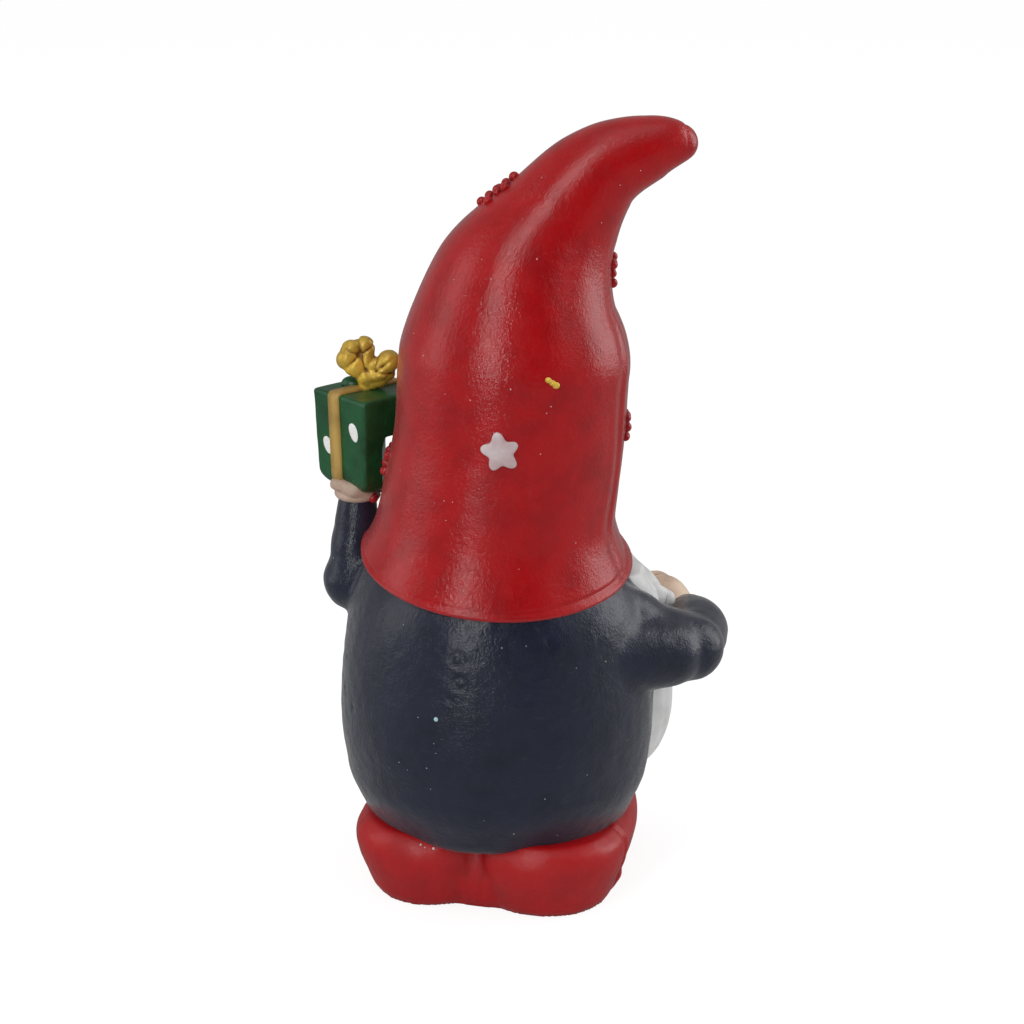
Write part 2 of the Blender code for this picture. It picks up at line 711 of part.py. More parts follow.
def make_beard(material):
    """The broad beard with its raised locks, from under the nose to above the boots."""
    columns = BEARD_COLUMNS
    rows = BEARD_ROWS
    top = CHEST_HEIGHT + BEARD_TOP_LIFT
    builder = bmesh.new()
    front = []
    back = []
    for row in range(rows + 1):
        share = row / rows
        front_row = []
        back_row = []
        for column in range(columns + 1):
            across = 2.0 * column / columns - 1.0
            angle = BEARD_SPREAD * across
            droop = BEARD_LENGTH * (1.0 - 0.16 * across**4) - BEARD_TUFT * beard_groove(angle, 1.0)
            height = top - droop * share
            proud = beard_proud(angle, share) - BEARD_EDGE_TUCK * across**8
            front_row.append(builder.verts.new(coat_point(angle, height, proud)))
            back_row.append(builder.verts.new(coat_point(angle * 0.97, height, -BEARD_SUNK)))
        front.append(front_row)
        back.append(back_row)
    for grid in (front, back):
        for row in range(rows):
            for column in range(columns):
                builder.faces.new(
                    (
                        grid[row][column],
                        grid[row][column + 1],
                        grid[row + 1][column + 1],
                        grid[row + 1][column],
                    )
                )
    for row in range(rows):
        for column in (0, columns):
            builder.faces.new(
                (front[row][column], front[row + 1][column], back[row + 1][column], back[row][column])
            )
    for column in range(columns):
        for row in (0, rows):
            builder.faces.new(
                (front[row][column], front[row][column + 1], back[row][column + 1], back[row][column])
            )
    return new_object("beard", builder, material)


def make_star(material):
    """The raised star on the back of the hat."""
    centre, outward = hat_point(STAR_PLACE, math.radians(-5.0), STAR_RELIEF)
    across = outward.cross(UP).normalized()
    along = across.cross(outward).normalized()
    rings = []
    for depth in (0.0, -5.0 * STAR_RELIEF):
        ring = []
        for i in range(10):
            angle = math.tau * i / 10 + STAR_TURN
            size = STAR_RADIUS if i % 2 == 0 else STAR_WAIST
            spoke = across * math.sin(angle) + along * math.cos(angle)
            ring.append(centre + spoke * size + outward * depth)
        rings.append(ring)
    return loft("hat_star", rings, material)


def make_rosette(name, place, angle, material):
    """A raised flower of beads on the hat."""
    step = 0.1
    station_length = (hat_frame(place + step)[0] - hat_frame(place)[0]).length / step
    beads = []
    for i in range(7):
        turn = math.tau * i / 6
        reach = 0.0 if i == 6 else BEAD_SPACING
        spot_place = place + reach * math.sin(turn) / station_length
        spot_angle = angle + reach * math.cos(turn) / hat_radius(place)
        spot, _ = hat_point(spot_place, spot_angle, 0.1 * BEAD_RADIUS)
        radii = (BEAD_RADIUS, BEAD_RADIUS, BEAD_RADIUS)
        beads.append(ball(f"{name}_{i}", spot, radii, material, sides=BEAD_SIDES))
    return beads


def cut(item, tool, operation, solver="EXACT"):
    """Add a Boolean of one tool to an item, and keep the tool as a wire guide."""
    modifier = item.modifiers.new(tool.name, "BOOLEAN")
    modifier.operation = operation
    modifier.solver = solver
    modifier.object = tool
    modifier.material_mode = "TRANSFER"
    tool.hide_render = True
    tool.display_type = "WIRE"


def main():
    """Build each form and join them into the one cast figure."""
    clear_scene()
    red = paint("hat_red", (0.366, 0.021, 0.026), 0.38)
    boot_red = paint("boot_red", (0.305, 0.016, 0.020), 0.36)
    navy = paint("coat_navy", (0.034, 0.040, 0.058), 0.45)
    white = paint("beard_white", (0.60, 0.60, 0.58), 0.55)
    skin = paint("skin", (0.66, 0.45, 0.30), 0.5)
    green = paint("box_green", (0.018, 0.095, 0.042), 0.4)
    gold = paint("ribbon_gold", (0.48, 0.30, 0.07), 0.35, 0.6)

    gnome = make_coat(navy)
    gnome.name = "gnome"
    hole = make_hole(green)
    forms = [
        make_boot("left_boot", 1.0, LEFT_BOOT_BACK, boot_red),
        make_boot("right_boot", -1.0, 0.0, boot_red),
        make_beard(white),
        make_head(skin),
        make_hat(red),
        make_nose(skin),
        make_moustache("right_moustache", 1.0, white),
        make_moustache("left_moustache", -1.0, white),
        *make_right_arm(navy),
        *make_left_arm(navy),
        make_right_hand(skin),
        make_left_hand(skin),
        make_box(green, hole),
        make_ribbon(gold, hole),
        make_star(white),
    ]
    forms.extend(make_bow(gold))
    for name, place, angle in (
        ("rosette_crown_left", 4.78, -97.0),
        ("rosette_bend_right", 4.46, 97.0),
        ("rosette_body_right", 2.17, 97.0),
        ("rosette_foot_left", 1.36, -99.0),
    ):
        forms.extend(make_rosette(name, place, math.radians(angle), red))
    for form in forms:
        cut(gnome, form, "UNION", "MANIFOLD")


main()
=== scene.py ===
"""Painted resin gnome figurine: the fine surface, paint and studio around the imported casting.

Metres, +Z up. The figure faces -Y and its left hand is at +X. It is photographed from behind.
"""

import logging
from dataclasses import dataclass, field
from enum import Enum
from math import cos, pi, radians, sin, tau
from typing import Iterable, Sequence

import bpy
from bpy.types import Material, Mesh, Node, NodeSocket, Object, ShaderNode, World
import numpy as np
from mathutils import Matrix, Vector
from mathutils.bvhtree import BVHTree

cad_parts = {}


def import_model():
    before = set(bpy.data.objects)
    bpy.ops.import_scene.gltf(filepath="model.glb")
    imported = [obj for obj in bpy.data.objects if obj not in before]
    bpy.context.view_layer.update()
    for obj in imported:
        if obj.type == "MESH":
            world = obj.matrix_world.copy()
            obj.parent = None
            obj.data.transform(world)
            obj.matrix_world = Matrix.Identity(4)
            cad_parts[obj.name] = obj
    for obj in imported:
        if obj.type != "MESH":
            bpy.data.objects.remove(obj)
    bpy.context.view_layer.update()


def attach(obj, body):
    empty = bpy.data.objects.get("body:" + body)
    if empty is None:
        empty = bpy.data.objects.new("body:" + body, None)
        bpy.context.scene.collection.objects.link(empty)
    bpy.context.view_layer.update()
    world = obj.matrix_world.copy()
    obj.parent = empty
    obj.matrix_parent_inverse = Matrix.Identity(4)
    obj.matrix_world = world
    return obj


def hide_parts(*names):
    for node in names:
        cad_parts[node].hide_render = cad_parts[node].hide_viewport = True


logging.basicConfig(level=logging.INFO, format="%(name)s: %(message)s")
LOG = logging.getLogger("gnome")

Array = np.ndarray
MM = 0.001
NODE = "gnome"
VIEW_TURN = radians(15.0)
UP = np.array((0.0, 0.0, 1.0))
LEAN = np.array((-cos(VIEW_TURN), -sin(VIEW_TURN), 0.0))
BACK = np.array((-sin(VIEW_TURN), cos(VIEW_TURN), 0.0))
CAP_DEGREES = (15.0, 30.0, 45.0, 60.0, 74.0, 84.0)
NOISE_PRIMES = (73856093, 19349663, 83492791, 2654435761)
NOISE_MIXERS = (1274126177, 1911520717)
HOLLOW_GAIN = 6.0


class Fineness(Enum):
    """Voxel sizes of the fused forms, in metres."""

    SMALL = 0.00018
    MIDDLE = 0.00030
    LARGE = 0.00042


def unit(vector: Array) -> Array:
    """Scale vectors to length one along their last axis."""
    return vector / np.maximum(np.linalg.norm(vector, axis=-1, keepdims=True), 1e-12)


def monotone_curve(places: Sequence[float], values: Sequence[float], at: Array) -> Array:
    """Read a monotone cubic curve.

    Args:
        places: Rising places of the curve's stations.
        values: The value at each station.
        at: The places to read.

    Returns:
        One value for each place read.
    """
    x = np.asarray(places, float)
    y = np.asarray(values, float)
    slopes = np.diff(y) / np.diff(x)
    tangents = np.empty_like(y)
    tangents[0] = slopes[0]
    tangents[-1] = slopes[-1]
    before, after = slopes[:-1], slopes[1:]
    total = np.where(np.abs(before + after) > 1e-12, before + after, 1.0)
    tangents[1:-1] = np.where(before * after > 0.0, 2.0 * before * after / total, 0.0)
    place = np.clip(np.asarray(at, float), x[0], x[-1])
    span = np.clip(np.searchsorted(x, place, side="left") - 1, 0, len(x) - 2)
    width = x[span + 1] - x[span]
    t = (place - x[span]) / width
    start = y[span] * (2 * t**3 - 3 * t**2 + 1) + width * tangents[span] * (t**3 - 2 * t**2 + t)
    return start + y[span + 1] * (3 * t**2 - 2 * t**3) + width * tangents[span + 1] * (t**3 - t**2)


def catmull_rom(points: Array, at: Array) -> Array:
    """Read a Catmull-Rom curve.

    Args:
        points: The curve's points, one row each.
        at: Places from 0 to the last point's index.

    Returns:
        One point for each place.
    """
    last = len(points) - 1
    low = np.minimum(np.asarray(at, float).astype(int), last - 1)
    t = (np.asarray(at, float) - low)[:, None]
    before = points[np.maximum(low - 1, 0)]
    start, end = points[low], points[low + 1]
    after = points[np.minimum(low + 2, last)]
    return 0.5 * (
        2.0 * start
        + (end - before) * t
        + (2.0 * before - 5.0 * start + 4.0 * end - after) * t**2
        + (3.0 * start - before - 3.0 * end + after) * t**3
    )


def value_noise(points: Array, size: float | Sequence[float], seed: int) -> Array:
    """Smooth value noise from -1 to 1.

    Args:
        points: Points to read, one row each.
        size: Size of the lumps, for all axes or each.
        seed: Picks the pattern.

    Returns:
        One value for each point.
    """
    scaled = np.asarray(points, float) / np.asarray(size, float)
    cell = np.floor(scaled).astype(np.int64)
    part = scaled - cell
    part = part * part * (3.0 - 2.0 * part)
    total = np.zeros(len(scaled))
    in_x, in_y, in_z, in_seed = NOISE_PRIMES
    for corner in range(8):
        step = np.array((corner & 1, corner >> 1 & 1, corner >> 2 & 1))
        place = cell + step
        mixed = place[:, 0] * in_x ^ place[:, 1] * in_y ^ place[:, 2] * in_z ^ seed * in_seed
        mixed = (mixed ^ mixed >> 13) * NOISE_MIXERS[0] & 0x7FFFFFFF
        mixed = (mixed ^ mixed >> 15) * NOISE_MIXERS[1] & 0x7FFFFFFF
        weight = np.prod(np.where(step > 0, part, 1.0 - part), axis=1)
        total += weight * (mixed / 0x3FFFFFFF - 1.0)
    return total


def bell(distance: Array, width: float) -> Array:
    """A smooth bump that is 1 at no distance and about a third at its width."""
    return np.exp(-((distance / width) ** 2))


@dataclass
class Shell:
    """Points and faces of one closed surface."""

    points: Array
    faces: list[tuple[int, ...]]


def loft(rings: Sequence[Array]) -> Shell:
    """Close a stack of rings into a shell.

    Args:
        rings: Rings of as many points each, in order.

    Returns:
        The closed shell.
    """
    count = len(rings)
    sides = len(rings[0])
    points = np.concatenate([*rings, [np.mean(rings[0], axis=0)], [np.mean(rings[-1], axis=0)]])
    row = np.arange(count - 1)[:, None] * sides
    here = np.arange(sides)[None, :]
    there = (here + 1) % sides
    quads = np.stack((row + here, row + there, row + sides + there, row + sides + here), axis=-1)
    faces = [tuple(face) for face in quads.reshape(-1, 4).tolist()]
    first, last = count * sides, count * sides + 1
    top = (count - 1) * sides
    for i in range(sides):
        j = (i + 1) % sides
        faces.append((first, j, i))
        faces.append((last, top + i, top + j))
    return outward(Shell(points, faces))


def outward(shell: Shell) -> Shell:
    """Turn a closed shell's faces outward if they point in.

    Args:
        shell: A closed shell.

    Returns:
        The same shell.
    """
    triangles = np.array([(f[0], f[i], f[i + 1]) for f in shell.faces for i in range(1, len(f) - 1)])
    a, b, c = (shell.points[triangles[:, i]] for i in range(3))
    volume = float(np.einsum("ij,ij->i", a, np.cross(b, c)).sum())
    if volume < 0.0:
        shell.faces = [tuple(reversed(face)) for face in shell.faces]
    return shell


def ellipse_ring(centre: Array, across: Array, along: Array, sides: int) -> Array:
    """Points of an ellipse with two half axes as vectors."""
    angle = np.linspace(0.0, tau, sides, endpoint=False)[:, None]
    return centre + across * np.cos(angle) + along * np.sin(angle)


def ellipsoid(centre: Sequence[float], radii: Sequence[float], sides: int = 40) -> Shell:
    """A closed ellipsoid.

    Args:
        centre: Middle of the ellipsoid.
        radii: Half axes along x, y and z.
        sides: Points in each level ring.

    Returns:
        The closed shell.
    """
    rows = sides // 2
    rings = []
    for row in range(1, rows):
        angle = pi * row / rows
        middle = np.asarray(centre) - UP * (radii[2] * cos(angle))
        spread = sin(angle)
        across = np.array((radii[0] * spread, 0.0, 0.0))
        along = np.array((0.0, radii[1] * spread, 0.0))
        rings.append(ellipse_ring(middle, across, along, sides))
    shell = loft(rings)
    shell.points[-2] = np.asarray(centre) - UP * radii[2]
    shell.points[-1] = np.asarray(centre) + UP * radii[2]
    return shell


def limb(
    points: Sequence[Sequence[float]],
    radii: Sequence[float],
    flatness: float = 1.0,
    hint: Array = UP,
    sides: int = 28,
    steps: int = 10,
) -> Shell:
    """Sweep a round or flattened section along points.

    Args:
        points: Centre points of the limb.
        radii: Half width at each point.
        flatness: Share of the half width across the limb.
        hint: A direction that isn't along the limb.
        sides: Points in each ring.
        steps: Rings between two points.

    Returns:
        The closed limb, with rounded ends.
    """
    knots = np.asarray(points, float)
    at = np.linspace(0.0, len(knots) - 1, (len(knots) - 1) * steps + 1)
    path = catmull_rom(knots, at)
    sizes = monotone_curve(range(len(radii)), radii, at)
    rings = []
    for i, (centre, size) in enumerate(zip(path, sizes)):
        tangent = unit(path[min(i + 1, len(path) - 1)] - path[max(i - 1, 0)])
        across = unit(np.cross(tangent, hint))
        along = np.cross(across, tangent)
        cap = []
        if i in (0, len(path) - 1):
            way = -1.0 if i == 0 else 1.0
            for angle in np.radians(CAP_DEGREES):
                middle = centre + tangent * (way * size * sin(angle))
                shrink = size * cos(angle)
                cap.append(ellipse_ring(middle, across * shrink * flatness, along * shrink, sides))
        ring = ellipse_ring(centre, across * size * flatness, along * size, sides)
        rings.extend([*reversed(cap), ring] if i == 0 else [ring, *cap])
    return loft(rings)


def new_mesh(name: str, shells: Iterable[Shell]) -> Mesh:
    """Make one mesh of several shells.

    Args:
        name: Name of the mesh.
        shells: Closed surfaces, kept apart.

    Returns:
        The new mesh.
    """
    points: list = []
    faces: list = []
    for shell in shells:
        start = len(points)
        points.extend(shell.points.tolist())
        faces.extend(tuple(index + start for index in face) for face in shell.faces)
    mesh = bpy.data.meshes.new(name)
    mesh.from_pydata(points, [], faces)
    mesh.update()
    return mesh


def evaluated_copy(item: Object, name: str) -> Mesh:
    """Apply an object's modifiers and remove the object.

    Args:
        item: A linked object with live modifiers.
        name: Name of the new mesh.

    Returns:
        A plain mesh.
    """
    graph = bpy.context.evaluated_depsgraph_get()
    mesh = bpy.data.meshes.new_from_object(item.evaluated_get(graph), depsgraph=graph)
    mesh.name = name
    bpy.data.objects.remove(item, do_unlink=True)
    return mesh


def fused(name: str, shells: Iterable[Shell], voxel: float, rounds: int) -> Shell:
    """Melt overlapping shells into one and soften the joints between them.

    Args:
        name: Name of the working mesh.
        shells: Closed shells that overlap.
        voxel: Size of the remesh's cells.
        rounds: How often the result is smoothed.

    Returns:
        One closed shell.
    """
    item = bpy.data.objects.new(name, new_mesh(name, shells))
    bpy.context.scene.collection.objects.link(item)
    remesh = item.modifiers.new("Melt", "REMESH")
    remesh.mode = "VOXEL"
    remesh.voxel_size = voxel
    if rounds:
        soften = item.modifiers.new("Soften", "SMOOTH")
        soften.factor = 0.5
        soften.iterations = rounds
    mesh = evaluated_copy(item, name)
    points = np.empty(len(mesh.vertices) * 3)
    mesh.vertices.foreach_get("co", points)
    faces = [tuple(face.vertices) for face in mesh.polygons]
    bpy.data.meshes.remove(mesh)
    return outward(Shell(points.reshape(-1, 3), faces))


def shell_normals(shell: Shell) -> Array:
    """Outward normal at each point of a shell.

    Args:
        shell: A closed shell with outward faces.

    Returns:
        One unit vector for each point.
    """
    mesh = new_mesh("normals", [shell])
    normals = np.empty(len(mesh.vertices) * 3)
    mesh.vertices.foreach_get("normal", normals)
    bpy.data.meshes.remove(mesh)
    return normals.reshape(-1, 3)


def raised(shell: Shell, heights: Array) -> Shell:
    """Move each point of a shell along its normal."""
    shell.points = shell.points + shell_normals(shell) * heights[:, None]
    return shell


def hollow_share(mesh: Mesh, rounds: int = 6) -> Array:
    """How far each point lies in a hollow.

    Args:
        mesh: A closed mesh with outward faces.
        rounds: How often neighbours are averaged.

    Returns:
        About -1 on a ridge to 1 in a groove.
    """
    count = len(mesh.vertices)
    points = np.empty(count * 3)
    normals = np.empty(count * 3)
    edges = np.empty(len(mesh.edges) * 2, dtype=np.int64)
    mesh.vertices.foreach_get("co", points)
    mesh.vertices.foreach_get("normal", normals)
    mesh.edges.foreach_get("vertices", edges)
    points, normals, edges = points.reshape(-1, 3), normals.reshape(-1, 3), edges.reshape(-1, 2)
    ends = np.concatenate((edges[:, 0], edges[:, 1]))
    others = np.concatenate((edges[:, 1], edges[:, 0]))
    degree = np.maximum(np.bincount(ends, minlength=count), 1)

    def neighbour_mean(values: Array) -> Array:
        """Mean of one value over each point's neighbours."""
        return np.bincount(ends, weights=values[others], minlength=count) / degree

    mean = np.stack([neighbour_mean(points[:, axis]) for axis in range(3)], axis=1)
    length = np.linalg.norm(points[edges[:, 0]] - points[edges[:, 1]], axis=1).mean()
    share = np.einsum("ij,ij->i", mean - points, normals) / length
    for _ in range(rounds):
        share = 0.5 * share + 0.5 * neighbour_mean(share)
    return np.clip(share * HOLLOW_GAIN, -1.0, 1.0)


@dataclass(frozen=True)
class PaintFinish:
    """A brushed paint on cast resin."""

    name: str
    base: tuple[float, float, float]
    # deep is the dark tone of the mottling, also laid into hollows as painted shade; the pale tone marks
    # brush streaks and grain, and is also laid onto ridges as a painted highlight.
    deep: tuple[float, float, float]
    pale_tone_and_highlight: tuple[float, float, float]
    roughness: float = 0.36
    metallic: float = 0.0
    grain: float = 0.5
    brush: float = 0.35
    brush_stretch: tuple[float, float, float] = (1.0, 1.0, 0.18)
    lint: float = 0.0
    mottling: float = 0.55
    sheen: float = 0.0
    sheen_roughness: float = 0.45
    cloud_scale: float = 170.0
    stroke_scale: float = 1500.0
    fine_scale: float = 4200.0
    patch_scale: float = 620.0
    lump_scale: float = 900.0
    grit_scale: float = 1700.0
    lint_scale: float = 520.0
    lint_field_scale: float = 240.0
    lint_colour: tuple[float, float, float] = (0.62, 0.56, 0.56)
    glossier: float = 0.04
    duller: float = 0.06
    lump_height: float = 0.16 * MM
    stroke_height: float = 0.07 * MM
    grit_height: float = 0.10 * MM
    sparkle_height: float = 0.06 * MM

    def build(self) -> Material:
        """Make the material once.

        Returns:
            The material.
        """
        known = bpy.data.materials.get(self.name)
        if known is not None:
            return known
        material = bpy.data.materials.new(self.name)
        material.use_nodes = True
        tree = ShaderTree(material)
        shader = tree.nodes["Principled BSDF"]
        place = tree.add("ShaderNodeTexCoord").outputs["Object"]
        stretched = tree.add("ShaderNodeMapping", Scale=self.brush_stretch)
        tree.link(place, stretched.inputs["Vector"])
        strokes = tree.noise(stretched.outputs[0], self.stroke_scale, 3.0, 0.55)
        fine = tree.noise(place, self.fine_scale, 2.0, 0.6)
        tree.link(self.colour(tree, place, strokes, fine), shader.inputs["Base Color"])
        tree.link(self.gloss(tree, place), shader.inputs["Roughness"])
        tree.link(self.relief(tree, place, strokes, fine), shader.inputs["Normal"])
        shader.inputs["Metallic"].default_value = self.metallic
        shader.inputs["Sheen Weight"].default_value = self.sheen
        shader.inputs["Sheen Roughness"].default_value = self.sheen_roughness
        return material

    def colour(
        self, tree: "ShaderTree", place: NodeSocket, strokes: NodeSocket, fine: NodeSocket
    ) -> NodeSocket:
        """Mottled paint, darkened in hollows as painted shade and paled on ridges as a painted highlight.

        Args:
            tree: The material's nodes.
            place: The coordinates.
            strokes: Noise of the brush strokes.
            fine: Noise of the finest grain.

        Returns:
            The colour's socket.
        """
        clouds = tree.noise(place, self.cloud_scale, 4.0, 0.6)
        mottle = tree.mix(self.base, self.deep, tree.ramp(clouds, 0.38, 0.72, self.mottling))
        streaked = tree.mix(mottle, self.pale_tone_and_highlight, tree.ramp(strokes, 0.60, 0.80, 0.22))
        grained = tree.mix(streaked, self.pale_tone_and_highlight, tree.ramp(fine, 0.66, 0.80, 0.30))
        hollow = tree.add("ShaderNodeAttribute")
        hollow.attribute_name = "hollow"
        # Painted shade: the dark tone laid into hollows, where shade falls.
        hollow_shaded = tree.mix(grained, self.deep, tree.ramp(hollow.outputs["Fac"], 0.06, 0.60, 0.95))
        # Painted highlight: the pale tone laid onto ridges, where light catches.
        ridge = tree.times(hollow.outputs["Fac"], -1.0)
        ridge_highlighted = tree.mix(hollow_shaded, self.pale_tone_and_highlight, tree.ramp(ridge, 0.30, 0.95, 0.45))
        return self.with_lint(tree, place, ridge_highlighted) if self.lint > 0.0 else ridge_highlighted

    def with_lint(self, tree: "ShaderTree", place: NodeSocket, under: NodeSocket) -> NodeSocket:
        """Rare pale specks of lint stuck in the paint.

        Args:
            tree: The material's nodes.
            place: The coordinates.
            under: The paint's colour.

        Returns:
            The colour's socket with the specks.
        """
        spots = tree.add("ShaderNodeTexVoronoi", Scale=self.lint_scale)
        tree.link(place, spots.inputs["Vector"])
        near = tree.ramp(spots.outputs["Distance"], 0.035, 0.075, 1.0, falling=True)
        rare = tree.ramp(tree.noise(place, self.lint_field_scale, 2.0, 0.5), 0.60, 0.66, 1.0)
        return tree.mix(under, self.lint_colour, tree.times(tree.times(near, rare), self.lint))

    def gloss(self, tree: "ShaderTree", place: NodeSocket) -> NodeSocket:
        """Patches where the paint shines a little more or less.

        Args:
            tree: The material's nodes.
            place: The coordinates.

        Returns:
            The roughness's socket.
        """
        patch = tree.noise(place, self.patch_scale, 3.0, 0.6)
        shine = tree.add("ShaderNodeMapRange", From_Min=0.3, From_Max=0.7)
        shine.inputs["To Min"].default_value = self.roughness - self.glossier
        shine.inputs["To Max"].default_value = self.roughness + self.duller
        tree.link(patch, shine.inputs["Value"])
        return shine.outputs["Result"]

    def relief(
        self, tree: "ShaderTree", place: NodeSocket, strokes: NodeSocket, fine: NodeSocket
    ) -> NodeSocket:
        """Lumps of the casting, brush strokes, grit and sparkle, from coarse to fine.

        Args:
            tree: The material's nodes.
            place: The coordinates.
            strokes: Noise of the brush strokes.
            fine: Noise of the finest grain.

        Returns:
            The normal's socket.
        """
        casting = tree.noise(place, self.lump_scale, 3.0, 0.55)
        lumps = tree.bump(casting, self.grain * 0.3, self.lump_height)
        brushed = tree.bump(strokes, self.brush, self.stroke_height, lumps)
        sand = tree.noise(place, self.grit_scale, 2.0, 0.55)
        grit = tree.bump(sand, self.grain * 0.7, self.grit_height, brushed)
        return tree.bump(fine, self.grain, self.sparkle_height, grit)


class ShaderTree:
    """Short ways to add and link shader nodes."""

    def __init__(self, owner: Material | World) -> None:
        """Work on a material's or a world's node tree."""
        self.tree = owner.node_tree
        self.nodes = self.tree.nodes

    def add(self, kind: str, **values: object) -> ShaderNode:
        """Add a node.

        Args:
            kind: The node's type.
            values: Input values, with a line for a space.

        Returns:
            The new node.
        """
        node = self.nodes.new(kind)
        for key, value in values.items():
            node.inputs[key.replace("_", " ")].default_value = value
        return node

    def link(self, output: NodeSocket, target: NodeSocket) -> None:
        """Join two sockets."""
        self.tree.links.new(output, target)

    def times(self, value: NodeSocket, factor: NodeSocket | float) -> NodeSocket:
        """A value times another one.

        Args:
            value: The first factor.
            factor: The second factor.

        Returns:
            The product's socket.
        """
        node = self.add("ShaderNodeMath")
        node.operation = "MULTIPLY"
        self.link(value, node.inputs[0])
        if isinstance(factor, NodeSocket):
            self.link(factor, node.inputs[1])
        else:
            node.inputs[1].default_value = factor
        return node.outputs[0]

    def noise(self, place: NodeSocket, scale: float, detail: float, rough: float) -> NodeSocket:
        """A noise read at a place.

        Args:
            place: The coordinates to read.
            scale: Lumps in a metre.
            detail: Octaves.
            rough: Share of each finer octave.

        Returns:
            The noise's socket.
        """
        node = self.add("ShaderNodeTexNoise", Scale=scale, Detail=detail, Roughness=rough)
        self.link(place, node.inputs["Vector"])
        return node.outputs["Fac"]

    def ramp(
        self, value: NodeSocket, low: float, high: float, top: float, falling: bool = False
    ) -> NodeSocket:
        """A share that rises smoothly from 0, or falls to it.

        Args:
            value: The socket to read.
            low: Value where the share starts to change.
            high: Value where it stops.
            top: The share's largest value.
            falling: Whether it falls from the top to 0.

        Returns:
            The share's socket.
        """
        node = self.add("ShaderNodeMapRange")
        node.interpolation_type = "SMOOTHSTEP"
        node.inputs["From Min"].default_value = low
        node.inputs["From Max"].default_value = high
        node.inputs["To Min"].default_value = top if falling else 0.0
        node.inputs["To Max"].default_value = 0.0 if falling else top
        self.link(value, node.inputs["Value"])
        return node.outputs["Result"]

    def mix(
        self, low: NodeSocket | Sequence[float], high: NodeSocket | Sequence[float], share: NodeSocket | float
    ) -> NodeSocket:
        """A colour between two others.

        Args:
            low: The colour at share 0.
            high: The colour at share 1.
            share: Share of the second colour.

        Returns:
            The mixed colour's socket.
        """
        node = self.add("ShaderNodeMix")
        node.data_type = "RGBA"
        for socket, colour in ((node.inputs[6], low), (node.inputs[7], high)):
            if isinstance(colour, NodeSocket):
                self.link(colour, socket)
            else:
                socket.default_value = (*colour, 1.0)
        if isinstance(share, NodeSocket):
            self.link(share, node.inputs[0])
        else:
            node.inputs[0].default_value = share
        return node.outputs[2]

    def bump(
        self, height: NodeSocket, strength: float, distance: float, under: NodeSocket | None = None
    ) -> NodeSocket:
        """A relief on top of another one.

        Args:
            height: The relief's socket.
            strength: Share of the relief that shows.
            distance: Its height in metres.
            under: The normal of a coarser relief.

        Returns:
            The normal's socket.
        """
        node = self.add("ShaderNodeBump", Strength=strength, Distance=distance)
        self.link(height, node.inputs["Height"])
        if under is not None:
            self.link(under, node.inputs["Normal"])
        return node.outputs["Normal"]


HAT_RED = PaintFinish(
    "hat_red_paint", (0.360, 0.003, 0.005), (0.215, 0.001, 0.003), (0.36, 0.03, 0.035), 0.13,
    grain=0.8, lint=0.8, sheen=0.08,
)
BOOT_RED = PaintFinish(
    "boot_red_paint", (0.410, 0.002, 0.004), (0.220, 0.002, 0.004), (0.36, 0.03, 0.03), 0.38, mottling=0.35
)
NAVY = PaintFinish(
    "coat_navy_paint", (0.011, 0.014, 0.032), (0.005, 0.007, 0.014), (0.045, 0.050, 0.066), 0.19,
    sheen=0.19, grain=0.9, brush=0.4, brush_stretch=(0.30, 0.30, 1.0), lint=0.5,
)
WHITE = PaintFinish("beard_white_paint", (0.73, 0.73, 0.73), (0.46, 0.45, 0.44), (0.76, 0.76, 0.75), 0.45)
STAR_WHITE = PaintFinish("star_white_paint", (0.57, 0.49, 0.50), (0.36, 0.16, 0.16), (0.62, 0.57, 0.57), 0.40)
DOT_WHITE = PaintFinish("dot_white_paint", (0.80, 0.80, 0.79), (0.55, 0.56, 0.54), (0.86, 0.86, 0.86), 0.40)
SKIN = PaintFinish("skin_paint", (0.78, 0.61, 0.46), (0.40, 0.22, 0.14), (0.68, 0.52, 0.40), 0.45)
# The skin paint darkened as painted shade, for the left palm that lies under the present.
SHADED_PALM_SKIN = PaintFinish("palm_skin_painted_shade", (0.50, 0.38, 0.29), (0.30, 0.17, 0.12), (0.60, 0.50, 0.42), 0.45)
GREEN = PaintFinish(
    "box_green_paint", (0.007, 0.084, 0.025), (0.002, 0.018, 0.006), (0.040, 0.140, 0.070), 0.30, brush=0.5
)
OCHRE = PaintFinish("ribbon_ochre_paint", (0.47, 0.30, 0.070), (0.18, 0.09, 0.02), (0.48, 0.34, 0.13), 0.42)
GOLD = PaintFinish(
    "bow_gold_paint", (0.84, 0.57, 0.075), (0.16, 0.06, 0.010), (0.88, 0.68, 0.24), 0.28,
    metallic=0.3, grain=0.8,
)
LINT = PaintFinish("lint_white", (0.62, 0.56, 0.56), (0.50, 0.42, 0.42), (0.70, 0.66, 0.66), 0.5)
PALE_BLUE = PaintFinish("pale_blue_drop", (0.40, 0.62, 0.66), (0.25, 0.45, 0.50), (0.60, 0.75, 0.78), 0.3)


